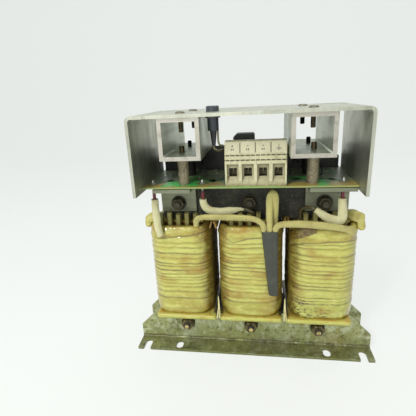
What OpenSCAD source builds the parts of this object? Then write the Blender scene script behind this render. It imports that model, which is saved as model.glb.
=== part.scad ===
// Three-phase multi-tap transformer with a rectifier deck.
// X runs to the right, Y to the back and Z up. The origin is the middle of the
// footprint on the floor; inside the modules Y = 0 is the middle of the core.

/* [Core] */
// Width of each core limb
limb_w = 40; // [36:1:44]
// Width of the windows between the limbs
window_w = 40; // [38:1:48]
// Height of the windows
window_h = 120; // [100:1:150]
// Height of the upper and lower yokes
yoke_h = 40; // [36:1:48]
// Thickness of the lamination stack
stack_t = 40; // [36:1:50]
// Bore of the clamping holes in the yokes
bolt_hole_d = 9; // [8.5:0.1:10]

/* [Base angles] */
// Length of each base angle
base_len = 285; // [270:1:310]
// Sheet thickness of the base angles
base_t = 3; // [2:0.5:4]
// Height of the upright flange above the floor
base_h = 45; // [42:1:47]
// Depth of each foot from the core face
foot_d = 26; // [24:1:32]
// Gap between the foot and the underside of the core
core_gap = 5; // [3:0.5:8]
// Inside radius of the fold
base_fold_r = 2; // [1:0.5:3]
// Height of the vertical end below the 45 degree corner cut
base_end_h = 20; // [14:1:26]
// Width of the fixing slots
slot_w = 9; // [7:0.5:10]
// End-to-end length of the closed slots
slot_len = 14; // [12:0.5:16]
// Distance between the closed slots of one foot
slot_pitch = 180; // [160:1:200]
// Distance between the open slots of one foot
open_slot_pitch = 262; // [250:1:266]
// Depth of the open slots from the foot edge
open_slot_len = 16; // [12:1:18]

/* [Coils] */
// Clearance between a limb and its coil former
former_clear = 0.3; // [0.2:0.1:0.6]
// Wall thickness of the coil former
former_wall = 1.7; // [1.2:0.1:2.2]
// Thickness of the former flanges
flange_t = 2; // [1.5:0.5:3]
// Width of the lower former flange
flange_w = 72; // [66:1:74]
// Shift of the outer coils' lower flanges towards the middle coil
flange_shift = 3; // [0:0.5:3]
// Depth of the lower former flange
flange_d = 91; // [88:1:98]
// Build of the inner winding
inner_build = 5; // [4:0.5:6]
// Build of the outer winding beside the limbs
outer_build = 8.3; // [6.5:0.1:9]
// Build of the outer winding across the front and back
outer_front_build = 9; // [7:0.5:11]
// Depth of the cooling duct between the windings
duct_d = 8; // [7:0.5:9]
// Corner radius of the outer winding
coil_corner_r = 21; // [16:1:23]
// Number of duct sticks on each side of a coil
stick_count = 5; // [3:1:5]
// Distance between duct sticks
stick_pitch = 10; // [8.5:0.5:10.5]
// Width of each duct stick
stick_w = 5; // [3.5:0.5:6]
// Height of the tallest duct sticks above the windings
stick_rise = 14; // [6:1:15]

/* [Upper angles] */
// Thickness of the upper aluminium angles
angle_t = 4; // [3:0.5:5]
// Height of the upright leg of an upper angle
angle_h = 34; // [31:1:37]
// Depth of the level leg of an upper angle
angle_d = 35; // [32:1:38]
// Length of the left upper angles
angle_left_w = 40; // [34:1:46]
// Length of the right upper angles
angle_right_w = 44.8; // [36:0.1:44.8]

/* [Circuit board] */
// Thickness of the circuit board
board_t = 1.6; // [1:0.1:2.4]
// Depth of the circuit board
board_d = 100; // [94:1:110]
// Front edge of the board, in front of the core middle
board_front = 58.5; // [57:0.5:66]
// Thickness of the fibre washers under the board
fibre_t = 1.6; // [1:0.1:2.5]

/* [Top bracket] */
// Outside width of the bracket
bracket_w = 220; // [212:1:240]
// Depth of the bracket
bracket_d = 107; // [103:1:115]
// Height of the side plates
bracket_h = 78; // [74:0.5:79]
// Sheet thickness of the bracket
bracket_t = 3; // [2:0.5:4]
// Front edge of the bracket, in front of the core middle
bracket_front = 80; // [77:1:90]
// Inside radius of the bracket folds
bracket_fold_r = 2.5; // [1:0.5:5]
// Sideways offset of the deck from the core middle
deck_x = -2; // [-4:0.5:4]

/* [Box tubes] */
// Outside size of the square tubes
tube_w = 40; // [36:1:44]
// Wall thickness of the square tubes
tube_wall = 4; // [3:0.5:5]
// Length of the square tubes
tube_len = 102; // [98:1:103]
// Front ends of the tubes, in front of the core middle
tube_front = 75; // [72:1:78]
// Distance between the tube middles
tube_pitch = 122.4; // [116:0.1:130]

/* [Standoffs] */
// Length of the standoffs
standoff_len = 30; // [26:1:40]
// Diameter of the standoffs
standoff_d = 11.4; // [9:0.1:12]
// Distance between the left and right standoffs
standoff_pitch = 131; // [126:1:136]
// Front standoffs, in front of the core middle
standoff_front = 44; // [41:1:47]
// Distance from the front to the rear standoffs
standoff_step = 42; // [38:1:44]
// Diameter of the front studs
front_stud_d = 6; // [5:0.5:7]
// Diameter of the rear studs
rear_stud_d = 5; // [4:0.5:6]
// Length of stud showing above the tube floor
stud_rise = 6; // [3:0.5:8]

/* [Clamping bolts] */
// Diameter of the clamping bolts
bolt_d = 8; // [6:0.5:8]
// Size across flats of the clamping nuts and heads
nut_af = 13; // [11:0.5:14]
// Height of the clamping nuts
nut_h = 6.5; // [5:0.5:8]
// Height of the bolt heads
head_h = 5.3; // [4:0.1:6]
// Outside diameter of the washers
washer_d = 17; // [16:0.5:19]
// Thickness of the washers
washer_t = 1.6; // [1:0.1:2.5]
// Length of bolt showing past the nut
bolt_tail = 4; // [2:0.5:8]

/* [Tube screws] */
// Diameter of the screws that hang in the tubes
tube_screw_d = 5; // [4:0.5:6]
// Length of screw below the tube roof
tube_screw_drop = 11; // [6:1:12]
// Distance between the left and right front screws
front_screw_pitch = 124; // [118:1:130]
// Distance between the left and right rear screws
rear_screw_pitch = 114; // [110:1:126]
// Front screws, in front of the core middle
screw_front = 57; // [54:1:60]
// Distance from the front to the rear screws
screw_step = 42; // [36:1:50]

/* [Fuse holder] */
// Sideways place of the fuse holder
fuse_x = -33.4; // [-36:0.1:-32]
// Fuse holder, in front of the core middle
fuse_y = 50; // [44:1:60]
// Diameter of the fuse cap
fuse_cap_d = 12.6; // [11:0.1:16]
// Height of the fuse cap above the bracket
fuse_cap_h = 5.2; // [4:0.1:8]
// Diameter of the fuse holder barrel
fuse_barrel_d = 11; // [10:0.5:13]
// Length of the barrel below the bracket
fuse_barrel_len = 15; // [12:0.5:20]
// Length of the rubber boot below the barrel
fuse_boot_len = 15; // [10:0.5:16]

/* [Terminal block] */
// Number of poles
poles = 4; // [2:1:5]
// Distance between poles
pole_pitch = 14.9; // [13:0.1:15.5]
// Left end of the terminal block
terminal_x = -22.7; // [-23.5:0.1:-19]
// Front face of the block, in front of the core middle
terminal_front = 57; // [56:0.5:58]
// Height of the terminal block
terminal_h = 43.8; // [42:0.1:48]
// Depth of the terminal block at its base
terminal_d = 28; // [25:0.5:30]
// Width and height of each wire entry
entry_w = 8; // [6:0.5:9]

/* [Tap strip] */
// Length of the tap strip
strip_len = 209; // [180:1:210]
// Depth of the tap strip
strip_d = 13.4; // [12:0.1:14.4]
// Height of the strip bed
strip_h = 14; // [10:1:18]
// Height of the barriers above the board
barrier_h = 29; // [20:1:30]
// Number of taps
taps = 12; // [8:1:14]

/* [Leads] */
// Diameter of the white lead sleeves
sleeve_d = 7.6; // [5:0.1:7.8]
// Diameter of the star lead sleeves
star_d = 6; // [5:0.1:6.1]
// Diameter of the thin wires
wire_d = 2; // [1.4:0.1:2.4]

/* [Hidden] */

fit = 0.1;
eps = 0.5;
round_fn = 48;
small_fn = 24;
// Core
limb_pitch = limb_w + window_w;
core_w = 3 * limb_w + 2 * window_w;
core_bottom = base_t + core_gap;
window_bottom = core_bottom + yoke_h;
window_top = window_bottom + window_h;
core_top = window_top + yoke_h;
bolt_low_z = core_bottom + yoke_h / 2;
bolt_high_z = window_top + yoke_h / 2;
limb_places = [-limb_pitch, 0, limb_pitch];
core_face = stack_t / 2;
// Coils
former_in_w = limb_w + 2 * former_clear;
former_in_d = stack_t + 2 * former_clear;
former_out_w = former_in_w + 2 * former_wall;
former_out_d = former_in_d + 2 * former_wall;
winding_clear = 0.2;
former_z0 = window_bottom + former_clear;
former_z1 = window_top - former_clear;
winding_z0 = former_z0 + flange_t + winding_clear;
winding_z1 = former_z1 - flange_t - winding_clear;
inner_in_w = former_out_w + 2 * winding_clear;
inner_in_d = former_out_d + 2 * winding_clear;
inner_out_w = inner_in_w + 2 * inner_build;
inner_out_d = inner_in_d + 2 * inner_build;
outer_in_w = inner_out_w + 2 * winding_clear;
outer_in_d = inner_out_d + 2 * duct_d;
outer_out_w = outer_in_w + 2 * outer_build;
outer_out_d = outer_in_d + 2 * outer_front_build;
inner_corner_r = 5;
duct_corner_r = 7;
// Outset of each tape layer from bottom to top, for the wound and taped skin
tape_outset = [-3.4, -1.4, -0.2, 0.3, -0.1, 0.4, 0, 0.3, -0.2, 0.4, 0, 0.4, -0.1, 0.3, -0.3, -1.6];
stick_y = inner_out_d / 2 + duct_d / 2;
stick_d = duct_d - 0.6;
// Deck heights
leg_top = core_top + angle_t;
board_z0 = leg_top + fibre_t;
board_z1 = board_z0 + board_t;
tube_z0 = board_z1 + standoff_len;
tube_z1 = tube_z0 + tube_w;
deck_top = tube_z1 + bracket_t;
board_clear = 0.3;
board_w = bracket_w - 2 * bracket_t - 2 * board_clear;
board_rear = board_d - board_front;
standoff_x = [deck_x - standoff_pitch / 2, deck_x + standoff_pitch / 2];
standoff_y = [-standoff_front, standoff_step - standoff_front];
stud_ds = [front_stud_d, rear_stud_d];
tube_x = [deck_x - tube_pitch / 2, deck_x + tube_pitch / 2];
screw_pitches = [front_screw_pitch, rear_screw_pitch];
screw_y = [-screw_front, screw_step - screw_front];
// The origin lies under the middle of the whole outline
rear_reach = core_face + foot_d;
origin_y = (bracket_front - rear_reach) / 2;

// Rounded rectangle about the origin, made of straight and round pieces
module rounded_rect(w, d, r) {
    square([w - 2 * r, d], center = true);
    square([w, d - 2 * r], center = true);
    for (sx = [-1, 1], sy = [-1, 1])
        translate([sx * (w / 2 - r), sy * (d / 2 - r)]) circle(r = r, $fn = round_fn);
}

// Folded L section: the fold is at the origin, its legs run along +x and +y
module folded_section(level, upright, t, r) {
    corner = r + t;
    translate([corner, 0]) square([level - corner, t]);
    translate([0, corner]) square([t, upright - corner]);
    intersection() {
        square([corner, corner]);
        translate([corner, corner]) difference() {
            circle(r = corner, $fn = round_fn);
            circle(r = r, $fn = round_fn);
        }
    }
}

// Turns a flat outline drawn in Y and Z into a bar along X from x0
module bar_along_x(x0, len) {
    translate([x0, 0, 0]) rotate([90, 0, 90]) linear_extrude(len) children();
}

// Hole or rod along Y
module rod_y(x, y, z, d, len) {
    translate([x, y, z]) rotate([-90, 0, 0]) cylinder(d = d, h = len, $fn = round_fn);
}

// Hole or rod along Z
module rod_z(x, y, z, d, len) {
    translate([x, y, z]) cylinder(d = d, h = len, $fn = round_fn);
}

// Core: the limbs with the lower yoke, and the upper yoke laid across them
module core_limbs() {
    color([0.22, 0.21, 0.2]) difference() {
        union() {
            translate([-core_w / 2, -core_face, core_bottom]) cube([core_w, stack_t, yoke_h]);
            for (x = limb_places)
                translate([x - limb_w / 2, -core_face, window_bottom])
                    cube([limb_w, stack_t, window_h]);
        }
        for (x = limb_places)
            rod_y(x, -core_face - eps, bolt_low_z, bolt_hole_d, stack_t + 2 * eps);
    }
}

module core_yoke() {
    color([0.2, 0.19, 0.18]) difference() {
        translate([-core_w / 2, -core_face, window_top]) cube([core_w, stack_t, yoke_h]);
        for (x = limb_places)
            rod_y(x, -core_face - eps, bolt_high_z, bolt_hole_d, stack_t + 2 * eps);
    }
}

// One base angle, with its foot to the front
module base_angle() {
    open_y = -core_face - foot_d;
    closed_y = slot_mid_y - (slot_len - slot_w) / 2;
    difference() {
        bar_along_x(-base_len / 2, base_len)
            translate([-core_face, 0]) mirror([1, 0])
                folded_section(foot_d, base_h, base_t, base_fold_r);
        for (x = limb_places)
            rod_y(x, -core_face - base_t - eps, bolt_low_z, bolt_hole_d, base_t + 2 * eps);
        for (side = [-1, 1]) {
            translate([side * base_len / 2, -core_face + eps, base_end_h])
                rotate([90, 0, 0]) linear_extrude(base_t + 2 * eps)
                    polygon([[0, 0], [side * eps, 0], [side * eps, corner_cut + eps],
                        [-side * corner_cut, corner_cut + eps], [-side * corner_cut, corner_cut]]);
            translate([side * slot_pitch / 2, 0, -eps]) {
                rod_z(0, closed_y, 0, slot_w, base_t + 2 * eps);
                rod_z(0, closed_y + slot_len - slot_w, 0, slot_w, base_t + 2 * eps);
                translate([-slot_w / 2, closed_y, 0])
                    cube([slot_w, slot_len - slot_w, base_t + 2 * eps]);
            }
            translate([side * open_slot_pitch / 2, 0, -eps]) {
                rod_z(0, open_y + open_slot_len - slot_w / 2, 0, slot_w, base_t + 2 * eps);
                translate([-slot_w / 2, open_y - eps, 0])
                    cube([slot_w, open_slot_len - slot_w / 2 + eps, base_t + 2 * eps]);
            }
        }
    }
}
slot_mid_y = -core_face - base_t - (foot_d - base_t) / 2 - 2;
corner_cut = base_h - base_end_h;

module base_angle_front() {
    color([0.6, 0.61, 0.44]) base_angle();
}

module base_angle_rear() {
    color([0.6, 0.61, 0.44]) mirror([0, 1, 0]) base_angle();
}

// Coils
module coil_former(x) {
    color([0.88, 0.82, 0.5]) translate([x, 0, 0]) difference() {
        union() {
            translate([0, 0, former_z0]) linear_extrude(former_z1 - former_z0)
                rounded_rect(former_out_w, former_out_d, former_wall);
            translate([-sign(x) * flange_shift, 0, former_z0]) linear_extrude(flange_t)
                rounded_rect(flange_w, flange_d, 3);
            translate([0, 0, former_z1 - flange_t]) linear_extrude(flange_t)
                rounded_rect(inner_out_w, inner_out_d, 3);
        }
        translate([0, 0, former_z0 - eps]) linear_extrude(window_h + 2 * eps)
            square([former_in_w, former_in_d], center = true);
    }
}

module inner_winding(x) {
    color([0.62, 0.4, 0.2]) translate([x, 0, winding_z0]) linear_extrude(winding_z1 - winding_z0)
        difference() {
            rounded_rect(inner_out_w, inner_out_d, inner_corner_r);
            rounded_rect(inner_in_w, inner_in_d, former_wall);
        }
}

module duct_sticks(x) {
    first = -(stick_count - 1) * stick_pitch / 2;
    height = winding_z1 - winding_z0 + stick_rise;
    color([0.8, 0.76, 0.45]) for (side = [-1, 1], i = [0 : stick_count - 1])
        translate([x + first + i * stick_pitch, side * stick_y, winding_z0])
            linear_extrude(height - stick_short[i % len(stick_short)])
                rounded_rect(stick_w, stick_d, 1.2);
}
// How much shorter each stick in a row is than the tallest
stick_short = [1.5, 0, 2.4, 0.8, 1.8];

// The tape layers step in and out a little, and draw in at both ends
module outer_winding(x, turn) {
    layers = len(tape_outset);
    layer_h = (winding_z1 - winding_z0) / layers;
    color([0.82, 0.76, 0.42]) translate([x, 0, winding_z0]) difference() {
        for (i = [0 : layers - 1]) {
            inner_layer = i > 2 && i < layers - 2;
            out = inner_layer ? tape_outset[3 + (i - 3 + turn) % (layers - 5)] : tape_outset[i];
            translate([0, 0, i * layer_h]) linear_extrude(layer_h)
                rounded_rect(outer_out_w + 2 * out, outer_out_d + 2 * out, coil_corner_r + out);
        }
        translate([0, 0, -eps]) linear_extrude(winding_z1 - winding_z0 + 2 * eps)
            rounded_rect(outer_in_w, outer_in_d, duct_corner_r);
    }
}

// Upper angles: the front ones reach forward under the board, the rear ones
// lie inward across the upper yoke
module upper_angle(x0, w, row) {
    bolt_x = x0 < 0 ? -limb_pitch : limb_pitch;
    side = x0 < 0 ? 0 : 1;
    face = row == 0 ? -core_face : core_face + angle_t;
    color([0.72, 0.73, 0.7]) difference() {
        bar_along_x(x0, w) union() {
            translate([face - angle_d, core_top]) square([angle_d, angle_t]);
            translate([face - angle_t, leg_top - angle_h]) square([angle_t, angle_h]);
        }
        rod_y(bolt_x, face - angle_t - eps, bolt_high_z, bolt_hole_d, angle_t + 2 * eps);
        rod_z(standoff_x[side], standoff_y[row], core_top - eps, stud_ds[row] + 2 * fit,
            angle_t + 2 * eps);
        // Hole for the right lead
        rod_z(lead_tops[2][0], lead_tops[2][1], core_top - eps, lead_hole_d,
            angle_t + 2 * eps);
    }
}
lead_hole_d = 8;

module upper_angle_front_left() { upper_angle(-core_w / 2, angle_left_w, 0); }
module upper_angle_rear_left() { upper_angle(-core_w / 2, angle_left_w, 1); }
module upper_angle_front_right() { upper_angle(right_angle_x, angle_right_w, 0); }
module upper_angle_rear_right() { upper_angle(right_angle_x, angle_right_w, 1); }
right_angle_x = core_w / 2 - limb_w;

// Clamping bolts with their heads at the back. Each place is [x, z, sheet]
// where sheet is what is clamped against the core there.
clamp_places = [for (x = limb_places) each [
    [x, bolt_low_z, base_t],
    [x, bolt_high_z, x == 0 ? 0 : angle_t]]];

module core_bolts() {
    color([0.3, 0.29, 0.25]) for (p = clamp_places) {
        back = core_face + p[2] + washer_t;
        front = -back - nut_h - bolt_tail;
        rod_y(p[0], front, p[1], bolt_d, back - front);
        translate([p[0], back, p[1]]) rotate([-90, 0, 0])
            cylinder(d = nut_af / cos(30), h = head_h, $fn = 6);
    }
}

module core_nuts() {
    color([0.42, 0.38, 0.24]) for (p = clamp_places)
        translate([p[0], -core_face - p[2] - washer_t - nut_h, p[1]]) rotate([-90, 0, 0])
            difference() {
                intersection() {
                    cylinder(d = nut_af / cos(30), h = nut_h, $fn = 6);
                    rotate_extrude($fn = round_fn) polygon([[0, 0], [nut_af / 2, 0],
                        [nut_af / 2 + 1.4, 0.9], [nut_af / 2 + 1.4, nut_h], [0, nut_h]]);
                }
                translate([0, 0, -eps]) cylinder(d = bolt_d + 2 * fit, h = nut_h + 2 * eps,
                    $fn = round_fn);
            }
}

module core_washers() {
    color([0.3, 0.3, 0.26]) for (p = clamp_places, side = [-1, 1])
        translate([p[0], side * (core_face + p[2] + washer_t / 2), p[1]]) rotate([90, 0, 0])
            difference() {
                cylinder(d = washer_d, h = washer_t, center = true, $fn = round_fn);
                cylinder(d = bolt_d + 2 * fit, h = washer_t + 2 * eps, center = true,
                    $fn = round_fn);
            }
}

// Circuit board with its stud, lead and pin holes
module circuit_board() {
    color([0.25, 0.55, 0.28]) difference() {
        translate([deck_x - board_w / 2, -board_front, board_z0])
            cube([board_w, board_d, board_t]);
        for (i = [0, 1], j = [0, 1])
            rod_z(standoff_x[i], standoff_y[j], board_z0 - eps, stud_ds[j] + 2 * fit,
                board_t + 2 * eps);
        for (p = lead_tops)
            rod_z(p[0], p[1], board_z0 - eps, lead_end_d + 2 * fit, board_t + 2 * eps);
        for (i = [0 : poles - 1])
            rod_z(pole_x(i), pin_y, board_z0 - eps, pin_d + 2 * fit, board_t + 2 * eps);
    }
}

module fibre_washers() {
    color([0.35, 0.16, 0.1]) for (i = [0, 1], j = [0, 1])
        translate([standoff_x[i], standoff_y[j], leg_top]) difference() {
            cylinder(d = standoff_d, h = fibre_t, $fn = round_fn);
            translate([0, 0, -eps]) cylinder(d = stud_ds[j] + 2 * fit, h = fibre_t + 2 * eps,
                $fn = round_fn);
        }
}

module standoffs() {
    color([0.46, 0.43, 0.34]) for (i = [0, 1], j = [0, 1])
        translate([standoff_x[i], standoff_y[j], board_z1]) difference() {
            cylinder(d = standoff_d, h = standoff_len, $fn = round_fn);
            translate([0, 0, -eps]) cylinder(d = stud_ds[j] + 2 * fit,
                h = standoff_len + 2 * eps, $fn = round_fn);
        }
}

module standoff_studs() {
    stud_len = tube_z0 + tube_wall + stud_rise - core_top - fit;
    color([0.36, 0.31, 0.22]) for (i = [0, 1], j = [0, 1])
        rod_z(standoff_x[i], standoff_y[j], core_top + fit, stud_ds[j], stud_len);
}

// Folded bracket that covers the deck
module top_bracket() {
    half = bracket_w / 2;
    color([0.75, 0.76, 0.72]) difference() {
        translate([deck_x, 0, 0]) for (side = [0, 1]) mirror([side, 0, 0])
            translate([0, bracket_d - bracket_front, 0]) rotate([90, 0, 0])
                linear_extrude(bracket_d) translate([-half, deck_top]) mirror([0, 1])
                    folded_section(half, bracket_h, bracket_t, bracket_fold_r);
        rod_z(fuse_x, -fuse_y, tube_z1 - eps, fuse_barrel_d + 2 * fit, bracket_t + 2 * eps);
        for (side = [-1, 1], j = [0, 1])
            rod_z(deck_x + side * screw_pitches[j] / 2, screw_y[j], tube_z1 - eps,
                tube_screw_d + 2 * fit, bracket_t + 2 * eps);
        translate([deck_x + half - bracket_t - eps, bracket_hole_y, bracket_hole_z])
            rotate([0, 90, 0]) cylinder(d = bracket_hole_d, h = bracket_t + 2 * eps,
                $fn = small_fn);
    }
}
// Small drilled hole in the right side plate
bracket_hole_d = 3;
bracket_hole_y = 1;
bracket_hole_z = tube_z0 - 1;

module box_tube(i) {
    color([0.74, 0.73, 0.7]) difference() {
        translate([tube_x[i] - tube_w / 2, -tube_front, tube_z0]) cube([tube_w, tube_len, tube_w]);
        translate([tube_x[i] - tube_w / 2 + tube_wall, -tube_front - eps, tube_z0 + tube_wall])
            cube([tube_w - 2 * tube_wall, tube_len + 2 * eps, tube_w - 2 * tube_wall]);
        for (j = [0, 1]) {
            rod_z(standoff_x[i], standoff_y[j], tube_z0 - eps, stud_ds[j] + 2 * fit,
                tube_wall + 2 * eps);
            rod_z(deck_x + (2 * i - 1) * screw_pitches[j] / 2, screw_y[j],
                tube_z1 - tube_wall - eps, tube_screw_d + 2 * fit, tube_wall + 2 * eps);
        }
    }
}
module box_tube_left() { box_tube(0); }
module box_tube_right() { box_tube(1); }

// Pan-head screws through the bracket into the roofs of the tubes
module tube_screws() {
    head_d = 1.9 * tube_screw_d;
    screw_head_h = 0.35 * tube_screw_d;
    drop = tube_wall + tube_screw_drop + bracket_t;
    color([0.35, 0.33, 0.28]) for (side = [-1, 1], j = [0, 1])
        translate([deck_x + side * screw_pitches[j] / 2, screw_y[j], deck_top]) {
            translate([0, 0, -drop]) cylinder(d = tube_screw_d, h = drop, $fn = round_fn);
            difference() {
                cylinder(d1 = head_d, d2 = 0.7 * head_d, h = screw_head_h, $fn = round_fn);
                translate([-head_d, -0.6, screw_head_h / 2]) cube([2 * head_d, 1.2, 2]);
            }
        }
}

// Fuse holder: a barrel in the bracket, a screw cap above and a boot below
module fuse_holder_body() {
    color([0.1, 0.1, 0.11]) translate([fuse_x, -fuse_y, 0]) difference() {
        union() {
            translate([0, 0, tube_z1 - fuse_barrel_len])
                cylinder(d = fuse_barrel_d, h = fuse_barrel_len + bracket_t, $fn = round_fn);
            translate([0, 0, deck_top]) cylinder(d = fuse_cap_d, h = fuse_rim, $fn = round_fn);
        }
        translate([0, 0, tube_z1 - fuse_barrel_len + fuse_floor])
            cylinder(d = fuse_bore_d, h = fuse_barrel_len + bracket_t + fuse_rim,
                $fn = round_fn);
    }
}
fuse_floor = 2;
fuse_bore_d = 7;
fuse_rim = 1.2;

module fuse_cap() {
    color([0.12, 0.12, 0.13]) translate([fuse_x, -fuse_y, deck_top + fuse_rim]) difference() {
        union() {
            cylinder(d = fuse_cap_d, h = fuse_cap_h - fuse_rim - 0.8, $fn = round_fn);
            translate([0, 0, fuse_cap_h - fuse_rim - 0.8])
                cylinder(d1 = fuse_cap_d, d2 = fuse_cap_d - 1.6, h = 0.8, $fn = round_fn);
        }
        translate([-fuse_cap_d, -0.7, fuse_cap_h - fuse_rim - 1.5]) cube([2 * fuse_cap_d, 1.4, 3]);
    }
}

module fuse_nut() {
    nut_t = 3;
    color([0.14, 0.14, 0.15]) translate([fuse_x, -fuse_y, tube_z1 - nut_t]) difference() {
        cylinder(d = fuse_cap_d + 2, h = nut_t, $fn = 6);
        translate([0, 0, -eps]) cylinder(d = fuse_barrel_d + 2 * fit, h = nut_t + 2 * eps,
            $fn = round_fn);
    }
}

module fuse_boot() {
    collar_h = 4;
    color([0.08, 0.08, 0.09]) translate([fuse_x, -fuse_y, tube_z1 - fuse_barrel_len])
        mirror([0, 0, 1]) {
            cylinder(d1 = 6.6, d2 = 6, h = collar_h, $fn = round_fn);
            translate([0, 0, collar_h]) cylinder(d1 = 6, d2 = 3.4,
                h = fuse_boot_len - collar_h, $fn = round_fn);
        }
}

// Glass fuse inside the barrel, with its two end caps
module fuse_link() {
    link_d = 5;
    link_z = tube_z1 - fuse_barrel_len + fuse_floor;
    link_len = fuse_barrel_len + bracket_t + fuse_rim - fuse_floor;
    color([0.8, 0.8, 0.78]) translate([fuse_x, -fuse_y, link_z]) {
        cylinder(d = link_d, h = link_len, $fn = small_fn);
        for (z = [0, link_len - 4]) translate([0, 0, z])
            cylinder(d = link_d + 0.4, h = 4, $fn = small_fn);
    }
}

// Terminal block
function pole_x(i) = terminal_x + end_wall + (i + 0.5) * pole_pitch;
end_wall = 0.2;
terminal_w = poles * pole_pitch + 2 * end_wall;
entry_z = board_z1 + 9;
entry_depth = 19;
// Funnel in front of each wire entry: its rib, its depth and the fall of its floor
funnel_rib = 3.2;
funnel_d = 5;
funnel_fall = 6.4;
funnel_top = board_z1 + 22.4;
cage_w = entry_w + 1.6;
cage_d = 10.4;
cage_h = 12.8;
// Place of the cage chamber behind the front face and below the wire entry
chamber_front = 7;
chamber_drop = 2;
clamp_screw_d = 4;
screw_bore_d = 6.4;
screw_back = 12.5;
pin_d = 1.4;
pin_y = -terminal_front + 20;

module terminal_housing() {
    label_z = terminal_h - 11.6;
    groove_d = 3;
    color([0.82, 0.8, 0.65]) difference() {
        bar_along_x(terminal_x, terminal_w) translate([-terminal_front, board_z1])
            polygon([[0, 0], [terminal_d, 0], [terminal_d, 20], [terminal_d - 5, 24],
                [terminal_d - 8, terminal_h - 4], [terminal_d - 10, terminal_h],
                [5, terminal_h], [1.5, label_z], [1.5, label_z - 1], [groove_d, label_z - 1],
                [groove_d, label_z - 2.2], [1, label_z - 2.2], [1, label_z - 5.6],
                [groove_d, label_z - 5.6], [groove_d, label_z - 6.8], [0, label_z - 6.8]]);
        for (i = [0 : poles - 1]) {
            // Funnel with a sloping floor
            bar_along_x(pole_x(i) - (pole_pitch - funnel_rib) / 2, pole_pitch - funnel_rib)
                translate([-terminal_front, 0])
                    polygon([[-eps, entry_z - funnel_fall], [0, entry_z - funnel_fall],
                        [funnel_d, entry_z], [funnel_d, funnel_top], [-eps, funnel_top]]);
            translate([pole_x(i), -terminal_front, 0]) {
                // Wire entry and the chamber of the cage
                translate([-entry_w / 2, -eps, entry_z])
                    cube([entry_w, entry_depth, entry_w + 0.6]);
                translate([-cage_w / 2 - fit, chamber_front, entry_z - chamber_drop])
                    cube([cage_w + 2 * fit, cage_d + 0.6, cage_h + 0.4]);
                // Screwdriver bore from the top
                rod_z(0, screw_back, entry_z + entry_w, screw_bore_d, terminal_h);
            }
            rod_z(pole_x(i), pin_y, board_z1 - eps, pin_d + 2 * fit, 8);
        }
    }
}

// Steel clamp cages and their screws
module terminal_cages() {
    wall = 1;
    roof = 2.4;
    color([0.68, 0.68, 0.66]) for (i = [0 : poles - 1])
        translate([pole_x(i), -terminal_front + chamber_front + 0.3,
            entry_z - chamber_drop + 0.2]) difference() {
            translate([-cage_w / 2, 0, 0]) cube([cage_w, cage_d, cage_h]);
            translate([-cage_w / 2 + wall, -eps, wall])
                cube([cage_w - 2 * wall, cage_d + 2 * eps, cage_h - wall - roof]);
            rod_z(0, screw_back - chamber_front - 0.3, cage_h - roof - eps,
                clamp_screw_d + 2 * fit, roof + 2 * eps);
        }
}

module terminal_screws() {
    head_d = 6;
    thread_len = 9;
    screw_head_h = 3;
    slot_cut = 1.4;
    color([0.7, 0.68, 0.6]) for (i = [0 : poles - 1])
        translate([pole_x(i), -terminal_front + screw_back, entry_z + entry_w / 2]) difference() {
            union() {
                cylinder(d = clamp_screw_d, h = thread_len, $fn = small_fn);
                translate([0, 0, thread_len]) cylinder(d = head_d, h = screw_head_h,
                    $fn = small_fn);
            }
            translate([-head_d, -0.5, thread_len + screw_head_h - slot_cut])
                cube([2 * head_d, 1, slot_cut + eps]);
        }
}

module terminal_pins() {
    pin_drop = 4;
    color([0.8, 0.8, 0.8]) for (i = [0 : poles - 1])
        rod_z(pole_x(i), pin_y, board_z0 - pin_drop, pin_d, board_t + pin_drop + 7);
}

// Potted rectifier block with one corner cut, behind the terminal block
module rectifier_block() {
    block_w = 23.4;
    block_d = 12;
    block_h = 46.5;
    cut = 4;
    corner = 1.5;
    left_x = -17.4;
    middle_y = -2;
    color([0.1, 0.1, 0.1]) translate([left_x, middle_y + block_d / 2, board_z1])
        rotate([90, 0, 0]) linear_extrude(block_d)
            polygon([[0, 0], [block_w, 0], [block_w, block_h - corner],
                [block_w - corner, block_h], [cut, block_h], [0, block_h - cut]]);
}

// Tap strip along the rear edge of the board
strip_x0 = deck_x - strip_len / 2;
strip_rear_gap = 1;
strip_y0 = board_rear - strip_d - strip_rear_gap;
strip_end = 6;
barrier_t = 2;
tap_pitch = (strip_len - 2 * strip_end) / taps;
function tap_x(i) = strip_x0 + strip_end + (i + 0.5) * tap_pitch;
plate_t = 1;

module tap_strip_body() {
    color([0.09, 0.09, 0.09]) translate([0, strip_y0, board_z1]) {
        difference() {
            translate([strip_x0, 0, 0]) cube([strip_len, strip_d, strip_h]);
            for (i = [0 : taps - 1])
                rod_z(tap_x(i), strip_d / 2, strip_h - 6, 4.2, 7);
        }
        for (i = [0 : taps]) {
            end = i == 0 || i == taps;
            translate([strip_x0 + strip_end + i * tap_pitch - barrier_t / 2, 0, strip_h])
                cube([barrier_t, strip_d, (end ? 4 : barrier_h - strip_h)]);
        }
        // Wall between the taps and the board
        translate([strip_x0 + strip_end, 0, strip_h])
            cube([strip_len - 2 * strip_end, 1.6, barrier_h - strip_h]);
    }
}

module tap_strip_plates() {
    color([0.78, 0.76, 0.62]) for (i = [0 : taps - 1])
        translate([tap_x(i), strip_y0 + strip_d / 2 + 0.8, board_z1 + strip_h]) difference() {
            translate([-4.2, -5, 0]) cube([8.4, 10.6, plate_t]);
            translate([0, -0.8, -eps]) cylinder(d = 4.2, h = plate_t + 2 * eps, $fn = small_fn);
        }
}

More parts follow.
